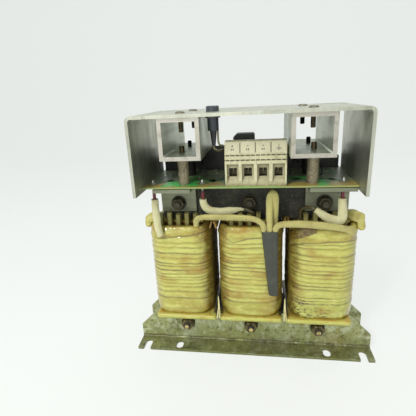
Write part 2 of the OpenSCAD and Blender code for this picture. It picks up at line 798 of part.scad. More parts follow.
module tap_strip_screws() {
    color([0.76, 0.75, 0.7]) for (i = [0 : taps - 1])
        translate([tap_x(i), strip_y0 + strip_d / 2, board_z1 + strip_h + plate_t]) difference() {
            union() {
                cylinder(d = 7, h = 2.2, $fn = small_fn);
                translate([0, 0, -5]) cylinder(d = 4, h = 5, $fn = small_fn);
            }
            translate([-4, -0.5, 1.1]) cube([8, 1, 2]);
        }
}

// Leads: each route is a short list of points, joined by a smooth curve
function unit(v) = v / norm(v);
function curve_point(a, b, c, d, t) =
    0.5 * (2 * b + (c - a) * t + (2 * a - 5 * b + 4 * c - d) * t * t
        + (3 * b - a - 3 * c + d) * t * t * t);
function smooth_route(p, steps) = [
    for (i = [0 : len(p) - 2], s = [0 : steps - 1])
        curve_point(p[max(i - 1, 0)], p[i], p[i + 1], p[min(i + 2, len(p) - 1)], s / steps),
    p[len(p) - 1]];
function headings(r, p) = [for (i = [0 : len(r) - 1])
    i == 0 ? unit(p[1] - p[0])
        : i == len(r) - 1 ? unit(p[len(p) - 1] - p[len(p) - 2]) : unit(r[i + 1] - r[i - 1])];
function carried(n, t) = unit(n - (n * t) * t);
function side_vectors(t, n, i = 0) = i == len(t) ? [] :
    let (m = carried(n, t[i])) concat([m], side_vectors(t, m, i + 1));

module tube_along(points, d, sides = 8, steps = 3) {
    r = smooth_route(points, steps);
    t = headings(r, points);
    n = side_vectors(t, abs(t[0][0]) > 0.9 ? [0, 1, 0] : [1, 0, 0]);
    rings = len(r);
    skin = [for (i = [0 : rings - 1], k = [0 : sides - 1])
        let (a = 360 * k / sides)
            r[i] + d / 2 * (cos(a) * n[i] + sin(a) * cross(t[i], n[i]))];
    sides_a = [for (i = [0 : rings - 2], k = [0 : sides - 1])
        [i * sides + k, (i + 1) * sides + k, (i + 1) * sides + (k + 1) % sides]];
    sides_b = [for (i = [0 : rings - 2], k = [0 : sides - 1])
        [i * sides + k, (i + 1) * sides + (k + 1) % sides, i * sides + (k + 1) % sides]];
    polyhedron(points = skin, faces = concat([[for (k = [0 : sides - 1]) k]], sides_a, sides_b,
        [[for (k = [sides - 1 : -1 : 0]) (rings - 1) * sides + k]]));
}

// Where the three white leads are soldered into the board
lead_row = -board_front + 16.5;
lead_tops = [[deck_x - board_w / 2 + 6.2, lead_row], [limb_places[0] + 31.2, lead_row],
    [deck_x + board_w / 2 - 10.7, lead_row]];
lead_end_d = 2.4;
lead_core_d = 3.6;
sleeve_top = core_top - 10;
core_end = core_top - 2;
coil_front = -outer_out_d / 2;
// Heights where leads end on a winding, on a former and on the star joint
on_coil = winding_z1 + fit;
on_former = former_z1 + fit;
joint_top = winding_z1 - 1.5;
on_joint = joint_top + fit;
star_joint_y = coil_front - 4.5;
joint_x = [15.3, 21.5, 27.7];

// Route points measured from the middle, front and top of the coil at x
function laid(x, points) = [for (p = points) [x + p[0], coil_front + p[1], winding_z1 + p[2]]];
function drop(top, z) = [top[0], top[1], z];

lead_left_route = concat([drop(lead_tops[0], sleeve_top), drop(lead_tops[0], sleeve_top - 4)],
    laid(limb_places[0], [[-22.2, 1, 21.5], [-21.4, -0.8, 13.5], [-20.2, -3.4, 5],
        [-19, -4.6, -1], [-17.5, -4.6, -7.5]]));
lead_mid_route = concat([drop(lead_tops[1], sleeve_top), drop(lead_tops[1], sleeve_top - 4)],
    laid(0, [[-46.5, 2.4, 23], [-41.5, 3.7, 18.8], [-33, 5.2, 16.8], [-22, 5.8, 17.4],
        [-12, 7.4, 18.8], [-6, 9.6, 17.9]]));
lead_right_route = concat([drop(lead_tops[2], sleeve_top), drop(lead_tops[2], sleeve_top - 4)],
    laid(limb_places[2], [[14.8, 2.2, 21.5], [15.2, 2.6, 13], [13.6, 2.8, 8.2], [8, 3, 8.2],
        [0, 3.6, 11.2], [-7, 4.8, 15.8], [-11, 6.4, 18.6]]));
// The bare conductors go on from the sleeves to the inner windings
core_mid_route = concat(laid(0, [[-5.9, 9.64, 17.89], [-3.1, 10.66, 17.47], [0, 11.4, 15.6],
    [3.6, 12.9, 13.4], [5.2, 15.8, 9.6], [5.2, 19.6, 6]]),
    [[5.2, coil_front + 19.6, on_former]]);
core_right_route = concat(laid(limb_places[2], [[-11.1, 6.45, 18.7], [-13.8, 7.5, 20.2],
    [-18.5, 11.5, 19.5], [-24, 16.5, 15.5], [-24.8, 18.7, 9]]),
    [[limb_places[2] - 24.8, coil_front + 18.7, on_former]]);
star_left_route = concat(laid(limb_places[0], [[21.5, 4.6, fit], [21.5, 4.6, 3.1],
    [22.4, 2.6, 7.1], [25.4, 0.4, 10.9], [33, -1.4, 12.7], [50, -2.4, 12.9],
    [68, -2.6, 12.7], [84, -3, 11.5]]), [[joint_x[0] - 2.9, star_joint_y + 0.5, on_joint + 9],
    [joint_x[0], star_joint_y, on_joint + 4], [joint_x[0], star_joint_y, on_joint]]);
star_mid_route = concat([[joint_x[1], star_joint_y, on_joint],
    [joint_x[1], star_joint_y, on_joint + 4]], laid(0, [[21.4, -3.2, 10.5], [21.2, -0.2, 24.5],
    [21.8, 1.6, 34], [24.4, 2.2, 37.9], [27.2, 2.2, 34], [27.6, 2.6, 23.5], [27.2, 3.8, 10.5],
    [27, 4.6, 3.5], [27, 4.6, fit]]));
star_right_route = concat([[joint_x[2], star_joint_y, on_joint],
    [joint_x[2], star_joint_y, on_joint + 2.6]], laid(limb_places[2], [[-49.4, -4.6, 4.7],
    [-43.4, -4.4, 6.1], [-28, -4.2, 6.3], [-5, -4.2, 4.7], [12, -4.4, 2.5], [21, -4.6, 0],
    [25, -4, -4.5]]));

// Bare wire ends with a cone of solder on the board
module lead_ends() {
    solder_h = 2.4;
    color([0.78, 0.78, 0.76]) for (p = lead_tops) {
        rod_z(p[0], p[1], core_end, lead_end_d, board_z1 + 4 - core_end);
        translate([p[0], p[1], board_z1]) difference() {
            cylinder(d1 = 6, d2 = lead_end_d + 0.6, h = solder_h, $fn = round_fn);
            translate([0, 0, -eps]) cylinder(d = lead_end_d, h = solder_h + 2 * eps,
                $fn = round_fn);
        }
    }
}

// Dark red insulation between the sleeves and the bare ends, and on to the windings
module lead_cores() {
    color([0.42, 0.12, 0.15]) {
        for (p = lead_tops) rod_z(p[0], p[1], sleeve_top, lead_core_d, core_end - sleeve_top);
        tube_along(core_mid_route, lead_core_d);
        tube_along(core_right_route, lead_core_d);
    }
}

module lead_left() {
    color([0.9, 0.88, 0.72]) tube_along(lead_left_route, sleeve_d, 10);
}
module lead_mid() {
    color([0.9, 0.88, 0.72]) tube_along(lead_mid_route, sleeve_d, 10);
}
module lead_right() {
    color([0.9, 0.88, 0.72]) tube_along(lead_right_route, sleeve_d, 10);
}
module star_lead_left() {
    color([0.82, 0.78, 0.5]) tube_along(star_left_route, star_d, 10);
}
module star_lead_mid() {
    color([0.84, 0.8, 0.56]) tube_along(star_mid_route, star_d, 10);
}
module star_lead_right() {
    color([0.82, 0.78, 0.5]) tube_along(star_right_route, star_d, 10);
}

// Heat-shrink sleeve over the joined star leads, flat and tapered
module star_joint_sleeve() {
    joint_len = 77;
    color([0.32, 0.32, 0.33]) hull() {
        for (x = [joint_x[0] + 1, joint_x[2] - 1]) translate([x, star_joint_y, joint_top - 2])
            cylinder(r = 3.6, h = 2, $fn = 32);
        for (x = [joint_x[1] + 2.1, joint_x[1] + 6.7]) translate([x, star_joint_y, joint_top - joint_len])
            cylinder(r = 3, h = 2, $fn = 32);
    }
}
// Two wires from the fuse holder, round the terminal block, down to the board
module fuse_leads() {
    boot_end = tube_z1 - fuse_barrel_len - fuse_boot_len;
    tab_x = fuse_x + 4.4;
    side_x = terminal_x - 3.8;
    foot_z = board_z1 + fit;
    color([0.5, 0.48, 0.3]) {
        tube_along([[fuse_x, -fuse_y, boot_end - fit], [fuse_x, -fuse_y, boot_end - 2.2],
            [-31, -47.5, 250.6], [side_x - 1.5, -42, 249.4], [side_x, -35.5, 249],
            [side_x + 5.5, -29.5, 248], [-15, -24, 243], [-12.4, -20.6, 236], [-12, -20, 228],
            [-12, -20, foot_z + 4], [-12, -20, foot_z]], wire_d, 8);
        tube_along([[tab_x, -fuse_y, tube_z1 - fuse_barrel_len - fit], [tab_x, -fuse_y, 262],
            [-28.6, -49.4, 257.5], [side_x - 0.6, -43.5, 254], [side_x + 1.5, -36, 252.8],
            [side_x + 6.5, -31, 252], [-9, -24.6, 247], [-6.4, -21.4, 238], [-6, -21, 228],
            [-6, -21, foot_z + 4], [-6, -21, foot_z]], wire_d, 8);
    }
}

// Thin dark wires from beside the standoffs to the tap strip
module board_wires() {
    foot_z = board_z1 + fit;
    end_y = strip_y0 - fit;
    end_z = board_z1 + 8;
    left_x = standoff_x[0];
    right_x = standoff_x[1];
    color([0.12, 0.12, 0.12]) {
        tube_along([[right_x - 19.5, -12, foot_z], [right_x - 19.5, -12, foot_z + 3.4],
            [right_x - 18.1, -9, 226], [right_x - 15, -1, 232], [right_x - 12.5, 9, 232.4],
            [tap_x(9) - 3, 19, 227], [tap_x(9), end_y - 4, end_z], [tap_x(9), end_y, end_z]],
            wire_d, 8);
        tube_along([[right_x + 13.5, -15, foot_z], [right_x + 13.5, -15, foot_z + 3.4],
            [right_x + 13.7, -12, 225], [right_x + 12.5, -3, 231], [right_x + 11.5, 8, 232],
            [tap_x(10), 19, 227], [tap_x(10), end_y - 4, end_z], [tap_x(10), end_y, end_z]],
            wire_d, 8);
        tube_along([[left_x + 18.5, -8, foot_z], [left_x + 18.5, -8, foot_z + 3.4],
            [left_x + 17.1, -5, 225], [left_x + 14.5, 2, 230.6], [left_x + 12.5, 11, 231],
            [tap_x(2) + 2, 19, 227], [tap_x(2), end_y - 4, end_z], [tap_x(2), end_y, end_z]],
            wire_d, 8);
    }
}

// Leads from the backs of the coils up to the taps
module tap_leads() {
    tap_lead_d = 2.4;
    start_y = -coil_front - 4.6;
    start_pitch = 11;
    lead_y = board_rear + 3.1;
    tap_z = board_z1 + strip_h + 1.5;
    per_coil = taps / 3;
    color([0.2, 0.18, 0.16]) for (i = [0 : taps - 1]) {
        coil = floor(i / per_coil);
        start_x = limb_places[coil] + (i - (coil + 0.5) * per_coil + 0.5) * start_pitch;
        tube_along([[start_x, start_y, on_coil], [start_x, start_y, on_coil + 4],
            [start_x, 41.4, 175], [(start_x + tap_x(i)) / 2, lead_y - 0.6, 190],
            [tap_x(i), lead_y, 207], [tap_x(i), lead_y, 222], [tap_x(i), lead_y - 1, 229],
            [tap_x(i), strip_y0 + strip_d + 0.9, tap_z]], tap_lead_d, 8);
    }
}

// Taped lumps where the winding ends leave the outer coils. Each is a hull of
// balls, cut away where the top of the winding stands. Places are measured
// outward from the winding's side, from the core's middle and up from its top.
module tape_knot(side, ball_r, places) {
    winding_side = limb_pitch + outer_out_w / 2 + tape_outset[len(tape_outset) - 1];
    flange_side = limb_pitch + inner_out_w / 2 + fit;
    difference() {
        hull() for (p = places)
            translate([side * (winding_side + p[0]), p[1], winding_z1 + p[2]])
                sphere(r = ball_r, $fn = small_fn);
        translate([-winding_side - fit, -core_w / 2, 0])
            cube([2 * (winding_side + fit), core_w, winding_z1 + fit]);
        translate([-flange_side, -core_w / 2, 0])
            cube([2 * flange_side, core_w, former_z1 + fit]);
    }
}

module tape_knots() {
    color([0.8, 0.78, 0.4]) {
        tape_knot(-1, 3.6, [[4.7, -26, -3.5], [4.9, -12, -2.5], [3.7, -24, 5.5],
            [-1.7, -16, 6.5], [-8.6, -21, 4.6], [-8.6, -11, 4.2]]);
        tape_knot(1, 4, [[5.6, -26, -5.5], [5.8, -10, -4.5], [4.3, -24, 7.5],
            [-2.7, -16, 8.1], [-7.8, -20, 5.4], [-7.8, -10, 5]]);
    }
}

// Moves a piece from the core's middle to the middle of the footprint
module placed() {
    translate([0, origin_y, 0]) children();
}

// Pieces of the assembly
placed() core_limbs();
placed() core_yoke();
placed() base_angle_front();
placed() base_angle_rear();
placed() coil_former(limb_places[0]);  // former_left
placed() coil_former(limb_places[1]);  // former_mid
placed() coil_former(limb_places[2]);  // former_right
placed() inner_winding(limb_places[0]);  // inner_winding_left
placed() inner_winding(limb_places[1]);  // inner_winding_mid
placed() inner_winding(limb_places[2]);  // inner_winding_right
placed() duct_sticks(limb_places[0]);  // duct_sticks_left
placed() duct_sticks(limb_places[1]);  // duct_sticks_mid
placed() duct_sticks(limb_places[2]);  // duct_sticks_right
placed() outer_winding(limb_places[0], 0);  // outer_winding_left
placed() outer_winding(limb_places[1], 1);  // outer_winding_mid
placed() outer_winding(limb_places[2], 2);  // outer_winding_right
placed() upper_angle_front_left();
placed() upper_angle_front_right();
placed() upper_angle_rear_left();
placed() upper_angle_rear_right();
placed() core_bolts();
placed() core_nuts();
placed() core_washers();
placed() circuit_board();
placed() fibre_washers();
placed() standoffs();
placed() standoff_studs();
placed() top_bracket();
placed() box_tube_left();
placed() box_tube_right();
placed() tube_screws();
placed() fuse_holder_body();
placed() fuse_cap();
placed() fuse_nut();
placed() fuse_boot();
placed() fuse_link();
placed() terminal_housing();
placed() terminal_cages();
placed() terminal_screws();
placed() terminal_pins();
placed() rectifier_block();
placed() tap_strip_body();
placed() tap_strip_plates();
placed() tap_strip_screws();
placed() lead_ends();
placed() lead_cores();
placed() lead_left();
placed() lead_mid();
placed() lead_right();
placed() star_lead_left();
placed() star_lead_mid();
placed() star_lead_right();
placed() star_joint_sleeve();
placed() fuse_leads();
placed() board_wires();
placed() tap_leads();
placed() tape_knots();
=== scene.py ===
"""Looks of the three-phase multi-tap transformer.

Blender works in metres in the row frame. Sizes below are in millimetres, in the
same core coordinates as the CAD source: X right, Y from the core's middle to the
back, Z up from the floor. place() turns them into the row frame.
"""
import bisect
import math
import random

import bpy
from mathutils import Matrix, Vector, noise


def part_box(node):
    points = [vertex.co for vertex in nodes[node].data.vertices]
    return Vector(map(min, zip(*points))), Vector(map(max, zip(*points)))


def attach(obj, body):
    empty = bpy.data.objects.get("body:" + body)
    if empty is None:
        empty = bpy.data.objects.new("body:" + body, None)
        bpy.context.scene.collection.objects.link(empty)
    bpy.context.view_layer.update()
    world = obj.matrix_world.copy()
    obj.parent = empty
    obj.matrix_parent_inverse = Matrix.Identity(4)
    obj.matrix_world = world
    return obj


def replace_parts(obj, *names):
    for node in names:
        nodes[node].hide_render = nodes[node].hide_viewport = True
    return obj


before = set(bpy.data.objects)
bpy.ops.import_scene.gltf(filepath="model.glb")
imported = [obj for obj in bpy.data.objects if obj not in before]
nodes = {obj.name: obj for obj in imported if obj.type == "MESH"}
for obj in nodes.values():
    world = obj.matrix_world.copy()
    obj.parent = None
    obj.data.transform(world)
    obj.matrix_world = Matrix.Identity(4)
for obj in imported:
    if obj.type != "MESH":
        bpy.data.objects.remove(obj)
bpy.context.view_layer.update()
scene = bpy.context.scene

MM = 0.001
CORE_Y = (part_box("core_limbs")[0][1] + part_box("core_limbs")[1][1]) / 2


def span(node, axis):
    """Where a node starts and ends along an axis, in core millimetres."""
    shift = CORE_Y if axis == 1 else 0.0
    return [(corner[axis] - shift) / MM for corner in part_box(node)]


# Places read from the frame, and a few values that repeat the CAD source
LIMBS = (-80.0, 0.0, 80.0)
TAPE_PROUD = 0.4
WINDING_Z0, WINDING_Z1 = span("outer_winding_mid", 2)
COIL_HALF_W = span("outer_winding_mid", 0)[1] - TAPE_PROUD
COIL_HALF_D = span("outer_winding_mid", 1)[1] - TAPE_PROUD
COIL_FRONT = -COIL_HALF_D
COIL_CORNER_R, DUCT_CORNER_R = 21.0, 7.0
DUCT_HALF_W, DUCT_HALF_D = 27.4, 35.2
BED_TOP = WINDING_Z0 + 2.8
CORE_FACE = span("core_limbs", 1)[1]
CORE_TOP = span("core_yoke", 2)[1]
BOARD_Z0, BOARD_Z1 = span("circuit_board", 2)
BOARD_FRONT = span("circuit_board", 1)[0]
TUBE_Z0, TUBE_Z1 = span("box_tube_left", 2)
TUBE_FRONT = span("box_tube_left", 1)[0]
SHEET, TUBE_WALL = 3.0, 4
DECK_TOP = TUBE_Z1 + SHEET
TERMINAL_X, TERMINAL_END_X = span("terminal_housing", 0)
TERMINAL_FRONT = span("terminal_housing", 1)[0]
TERMINAL_TOP = span("terminal_housing", 2)[1]
END_WALL, POLE_COUNT = 0.2, 4
POLE_PITCH = (TERMINAL_END_X - TERMINAL_X - 2 * END_WALL) / POLE_COUNT
POLES = [TERMINAL_X + END_WALL + (i + 0.5) * POLE_PITCH for i in range(POLE_COUNT)]
PIN_Y = -37
STANDOFFS_X = (-67.5, 63.5)
STUD_FROM, THREAD_FROM, BARE_FROM = 208.1, 245.0, 206
BOLT_LOW, BOLT_HIGH, BOLT_D = 28.0, 188.0, 8.0
FOOT_SHEET, ANGLE_SHEET, WASHER, NUT, BOLT_PROUD = 3.0, 4.0, 1.6, 6.5, 4.0


def place(x, y, z):
    """A point of the core coordinates, in millimetres, as a point of the row frame."""
    return Vector((x * MM, y * MM + CORE_Y, z * MM))


def srgb(r, g, b):
    """An 8-bit display colour as the linear colour that a shader takes."""
    def linear(c):
        c /= 255
        return c / 12.92 if c <= 0.04045 else ((c + 0.055) / 1.055) ** 2.4
    return (linear(r), linear(g), linear(b), 1.0)


# Camera and light

def add_camera():
    """The camera that the photograph was taken with, from a fit to the core, the
    base angles, the tubes and the bracket."""
    yaw, pitch, roll = -0.158547, 0.314781, 0.052372
    forward = Vector((math.sin(yaw) * math.cos(pitch), math.cos(yaw) * math.cos(pitch),
                      -math.sin(pitch)))
    level = Vector((math.cos(yaw), -math.sin(yaw), 0))
    down = forward.cross(level)
    right = math.cos(roll) * level + math.sin(roll) * down
    down = math.cos(roll) * down - math.sin(roll) * level
    data = bpy.data.cameras.new("camera")
    data.sensor_fit = "HORIZONTAL"
    data.sensor_width = 36
    data.lens = 347.01 / 416 * 36
    data.clip_start = 0.01
    camera = bpy.data.objects.new("camera", data)
    camera.matrix_world = Matrix.Translation(place(12.224, -393.463, 303.491)) @ Matrix((
        right, -down, -forward)).transposed().to_4x4()
    scene.collection.objects.link(camera)
    scene.camera = camera


def add_area(name, spot, aim, size, power, colour=(1, 1, 1)):
    data = bpy.data.lights.new(name, "AREA")
    data.shape = "RECTANGLE"
    data.size, data.size_y = size
    data.energy = power
    data.color = colour
    lamp = bpy.data.objects.new(name, data)
    lamp.location = spot
    lamp.rotation_euler = (Vector(aim) - Vector(spot)).to_track_quat("-Z", "Y").to_euler()
    scene.collection.objects.link(lamp)


def seen_share(tree, share):
    """A share of what the camera, a mirror or glass sees, and 0 for other rays."""
    path = tree.nodes.new("ShaderNodeLightPath")
    total = path.outputs["Is Camera Ray"]
    for ray in ("Is Glossy Ray", "Is Transmission Ray"):
        either = tree.nodes.new("ShaderNodeMath")
        either.operation = "MAXIMUM"
        tree.links.new(total, either.inputs[0])
        tree.links.new(path.outputs[ray], either.inputs[1])
        total = either.outputs[0]
    part = tree.nodes.new("ShaderNodeMath")
    part.operation = "MULTIPLY"
    part.inputs[1].default_value = share
    tree.links.new(total, part.inputs[0])
    return part.outputs[0]


def add_floor():
    """Pale floor and backdrop in one sweep. Part of its paleness is its own, so that it
    stays even where the lamps fall off, and the rest takes the object's shadow."""
    reach, back, rise, fold = 4.0, 2.2, 3.0, 0.8
    profile = [(-reach, 0.0), (back - fold, 0.0)]
    profile += [(back - fold + fold * math.sin(a), fold - fold * math.cos(a))
                for a in (math.radians(d) for d in range(10, 91, 10))]
    profile.append((back, rise))
    verts = [(x, y, z) for y, z in profile for x in (-reach, reach)]
    faces = [(2 * i, 2 * i + 1, 2 * i + 3, 2 * i + 2) for i in range(len(profile) - 1)]
    mesh = bpy.data.meshes.new("floor")
    mesh.from_pydata(verts, [], faces)
    for face in mesh.polygons:
        face.use_smooth = True
    floor = bpy.data.objects.new("floor", mesh)
    scene.collection.objects.link(floor)
    pale = srgb(245, 248, 245)
    mat = Finish("floor_pale", pale, rough=0.8)
    mesh.materials.append(mat.mat)
    own = mat.node("Emission", Color=pale, Strength=1.0)
    mix = mat.node("MixShader")
    mat.link(seen_share(mat.tree, 0.75), mix.inputs["Fac"])
    mat.link(mat.shader.outputs[0], mix.inputs[1])
    mat.link(own.outputs[0], mix.inputs[2])
    out = next(n for n in mat.tree.nodes if n.type == "OUTPUT_MATERIAL")
    mat.link(mix.outputs[0], out.inputs["Surface"])


def add_stage():
    """Floor, an even pale world, and soft lamps high above, so that the deck shades
    what is under it."""
    add_floor()
    world = bpy.data.worlds.new("world")
    scene.world = world
    world.use_nodes = True
    tree = world.node_tree
    tree.nodes.clear()
    out = tree.nodes.new("ShaderNodeOutputWorld")
    mix = tree.nodes.new("ShaderNodeMixShader")
    light = tree.nodes.new("ShaderNodeBackground")
    light.inputs["Color"].default_value = (0.95, 1.0, 0.96, 1)
    light.inputs["Strength"].default_value = 0.36
    seen = tree.nodes.new("ShaderNodeBackground")
    seen.inputs["Color"].default_value = srgb(244, 247, 244)
    seen.inputs["Strength"].default_value = 1.0
    tree.links.new(seen_share(tree, 1.0), mix.inputs["Fac"])
    tree.links.new(light.outputs[0], mix.inputs[1])
    tree.links.new(seen.outputs[0], mix.inputs[2])
    tree.links.new(mix.outputs[0], out.inputs["Surface"])

    add_area("key", (-0.5, -0.8, 1.35), (0, 0, 0.12), (0.55, 0.55), 8.2, (1, 1, 0.96))
    add_area("front", (-0.2, -1.3, 0.42), (0, 0, 0.2), (0.6, 0.6), 1.5)
    add_area("fill", (0.95, -0.95, 0.75), (0, 0, 0.15), (0.8, 0.8), 2.4)
    add_area("glint", (-0.42, -0.85, 0.75), (-0.08, 0, 0.14), (0.1, 0.1), 4.0)
    add_area("overhead", (0.1, 0.35, 1.5), (0, 0, 0.2), (1.0, 1.0), 5.5)


# Materials

class Finish:
    """One procedural material. Textures read object coordinates, which are the row
    frame in metres, so a scale of 1000 is one repeat per millimetre."""

    def __init__(self, name, colour, rough=0.5, metal=0.0, **sockets):
        self.mat = bpy.data.materials.new(name)
        self.mat.use_nodes = True
        self.tree = self.mat.node_tree
        self.shader = self.tree.nodes["Principled BSDF"]
        self.shader.inputs["Base Color"].default_value = colour
        self.shader.inputs["Roughness"].default_value = rough
        self.shader.inputs["Metallic"].default_value = metal
        for socket, value in sockets.items():
            title = socket.replace("_", " ").title().replace("Ior", "IOR")
            self.shader.inputs[title].default_value = value
        self.colour = None
        self.plain = colour
        self.normal = None
        self.coords = self.tree.nodes.new("ShaderNodeTexCoord")
        self.coord = "Object"

    def node(self, kind, **settings):
        made = self.tree.nodes.new("ShaderNode" + kind)
        for key, value in settings.items():
            if key in made.inputs:
                made.inputs[key].default_value = value
            else:
                setattr(made, key, value)
        return made

    def link(self, output, target):
        self.tree.links.new(output, target)

    def mapped(self, stretch, turn=(0, 0, 0)):
        mapping = self.node("Mapping")
        mapping.inputs["Scale"].default_value = stretch
        mapping.inputs["Rotation"].default_value = turn
        self.link(self.coords.outputs[self.coord], mapping.inputs["Vector"])
        return mapping.outputs["Vector"]

    def noise(self, scale, detail=3.0, stretch=(1, 1, 1), rough=0.55):
        made = self.node("TexNoise", Scale=scale, Detail=detail, Roughness=rough)
        self.link(self.mapped(stretch), made.inputs["Vector"])
        return made.outputs["Fac"]

    def waves(self, scale, turn=(0, 0, 0), distort=0.0, along="X"):
        made = self.node("TexWave", Scale=scale, Distortion=distort, Detail=1.0)
        made.bands_direction = along
        self.link(self.mapped((1, 1, 1), turn), made.inputs["Vector"])
        return made.outputs["Fac"]

    def cells(self, scale, stretch=(1, 1, 1)):
        made = self.node("TexVoronoi", Scale=scale)
        self.link(self.mapped(stretch), made.inputs["Vector"])
        return made.outputs["Distance"]

    def attribute(self, name):
        return self.node("Attribute", attribute_name=name).outputs["Fac"]

    def band(self, value, low, high, to_low=0.0, to_high=1.0):
        """Maps low..high of a value to to_low..to_high, held at both ends."""
        made = self.node("MapRange")
        for socket, number in zip(("From Min", "From Max", "To Min", "To Max"),
                                  (low, high, to_low, to_high)):
            made.inputs[socket].default_value = number
        self.link(value, made.inputs["Value"])
        return made.outputs["Result"]

    def spot(self, middle, radius, soft):
        """1 inside a ball about a point of the row frame, 0 outside it."""
        made = self.node("VectorMath", operation="DISTANCE")
        made.inputs[1].default_value = middle
        self.link(self.coords.outputs["Object"], made.inputs[0])
        return self.band(made.outputs["Value"], radius, radius + soft, 1.0, 0.0)

    def height(self, low, high, axis=2):
        """0 below low and 1 above high along an axis of the row frame."""
        split = self.node("SeparateXYZ")
        self.link(self.coords.outputs["Object"], split.inputs[0])
        return self.band(split.outputs[axis], low, high)

    def patch(self, low, high, soft, ragged=0.0):
        """1 inside a soft rectangle in X and Y of the row frame, 0 outside it. Ragged
        moves its edges about by a noise, in metres."""
        split = self.node("SeparateXYZ")
        self.link(self.coords.outputs["Object"], split.inputs[0])
        inside = 1.0
        for axis in (0, 1):
            value = split.outputs[axis]
            if ragged:
                value = self.math("ADD", value, self.band(self.noise(110 + 40 * axis, 3), 0.3, 0.7,
                                                          -ragged, ragged))
            inside = self.math("MULTIPLY", inside, self.band(value, low[axis] - soft, low[axis] + soft))
            inside = self.math("MULTIPLY", inside,
                               self.band(value, high[axis] - soft, high[axis] + soft, 1.0, 0.0))
        return inside

    def math(self, how, a, b):
        made = self.node("Math", operation=how)
        for i, value in enumerate((a, b)):
            if isinstance(value, (int, float)):
                made.inputs[i].default_value = value
            else:
                self.link(value, made.inputs[i])
        return made.outputs[0]

    def tint(self, amount, colour):
        """Lays a colour over what is there, by an amount from 0 to 1."""
        made = self.node("Mix", data_type="RGBA")
        self.link(amount, made.inputs[0])
        if self.colour is None:
            made.inputs[6].default_value = self.plain
        else:
            self.link(self.colour, made.inputs[6])
        made.inputs[7].default_value = colour
        self.colour = made.outputs[2]
        self.link(self.colour, self.shader.inputs["Base Color"])

    def tint_by(self, value, share, colour):
        """Lays a colour over what is there by the product of two values."""
        self.tint(self.math("MULTIPLY", value, share), colour)

    def wash(self, value, low, high, amount, colour):
        """Lays a colour over what is there, from nothing at low to amount at high."""
        self.tint(self.band(value, low, high, 0, amount), colour)

    def mottle(self, *layers):
        """Lays blotches over what is there, each as (scale, detail, low, high, amount,
        colour) of a noise, with a stretch at the end where it has one."""
        for scale, detail, low, high, amount, colour, *stretch in layers:
            self.wash(self.noise(scale, detail, *stretch), low, high, amount, colour)

    def roughness(self, value, low, high):
        self.link(self.band(value, 0.25, 0.75, low, high), self.shader.inputs["Roughness"])

    def bump(self, value, depth, strength=1.0):
        """Raises the surface by up to depth millimetres where the value is 1."""
        made = self.node("Bump", Strength=strength, Distance=depth * MM)
        self.link(value, made.inputs["Height"])
        if self.normal is not None:
            self.link(self.normal, made.inputs["Normal"])
        self.normal = made.outputs["Normal"]
        self.link(self.normal, self.shader.inputs["Normal"])


def make_tape(name, glossy):
    """Varnished glass tape: pale rounds with painted highlight on their tops and painted shade under them,
    olive lines between the turns, amber where the varnish has gathered, sooty marks, and painted shade, dark
    brown, on the flanks and down in the gaps between the coils."""
    matt = {"specular_ior_level": 0.12}
    gloss = {"specular_ior_level": 0.35, "coat_weight": 1.0, "coat_roughness": 0.07, "coat_ior": 1.36}
    f = Finish(name, srgb(178, 178, 86), rough=0.42, **(gloss if glossy else matt))
    cloud = f.noise(48, 4, (0.4, 0.4, 1.0))
    f.wash(f.attribute("hue"), 0.0, 1.0, 1.0, srgb(164, 158, 66))
    # Painted highlight: the tops of the tape's bulges are paler.
    f.wash(f.attribute("tone_and_highlight"), 0.45, 1.0, 0.75, srgb(206, 207, 114))
    f.wash(cloud, 0.50, 0.72, 0.4, srgb(172, 150, 60))
    f.mottle((160, 3, 0.52, 0.70, 0.25, srgb(172, 148, 54), (0.12, 0.12, 1.0)),
             (190, 3, 0.55, 0.70, 0.35, srgb(134, 130, 74), (0.1, 0.1, 1.0)))
    fine = f.noise(520, 4, (0.3, 0.3, 1.0), 0.7)
    f.wash(fine, 0.54, 0.72, 0.55, srgb(136, 124, 58))
    f.wash(fine, 0.46, 0.32, 0.45, srgb(222, 216, 136))
    # Stains, together with painted shade on the coils' flanks and under each bulge.
    stain_and_shade = f.math("MULTIPLY", f.attribute("stain_and_shade"), f.band(f.noise(110, 5, (0.6, 0.6, 1.0)), 0.30, 0.62))
    f.tint_by(stain_and_shade, 0.9, srgb(158, 124, 44))
    kept = f.band(f.noise(60, 2, (1, 1, 0.4)), 0.30, 0.55, 0.5, 1.0)
    lines = f.math("MULTIPLY", f.attribute("groove"), kept)
    f.tint_by(lines, 0.85, srgb(88, 90, 58))
    # Soot, with a little painted shade along the lines on the coils' flanks and inside the duct.
    soot_and_shade = f.math("MULTIPLY", f.attribute("soot_and_shade"), f.band(f.noise(330, 5, (0.7, 0.7, 1.4)), 0.47, 0.58))
    f.tint_by(soot_and_shade, 0.92, srgb(58, 45, 24))
    # Painted shade, dark brown, in the gaps between the coils and inside the duct, together with the burnt
    # wedge on the right coil.
    gap_shade_and_scorch = f.attribute("gap_shade_and_scorch")
    f.tint_by(gap_shade_and_scorch, f.band(fine, 0.35, 0.65, 0.6, 0.92), srgb(92, 72, 30))
    f.roughness(cloud, *((0.28, 0.5) if glossy else (0.65, 0.9)))
    f.bump(f.noise(240, 4, (0.3, 0.3, 1.0)), 0.45, 0.6)
    f.bump(fine, 0.25, 0.7)
    return f.mat


def make_sleeve(name, colour, dirt):
    """Braided glass sleeve. The braid follows the tube's own UVs, in millimetres."""
    f = Finish(name, colour, rough=0.6, sheen_weight=0.2)
    f.mottle((70, 4, 0.5, 0.75, 0.55, dirt),
             (520, 3, 0.55, 0.8, 0.35, dirt))
    f.coord = "UV"
    braid = f.math("MULTIPLY", f.waves(2.1, turn=(0, 0, math.radians(42))),
                   f.waves(2.1, turn=(0, 0, math.radians(-42))))
    f.wash(braid, 0.25, 0.0, 0.3, dirt)
    f.bump(braid, 0.22, 0.8)
    f.coord = "Object"
    f.bump(f.noise(180, 3), 0.3, 0.5)
    return f.mat


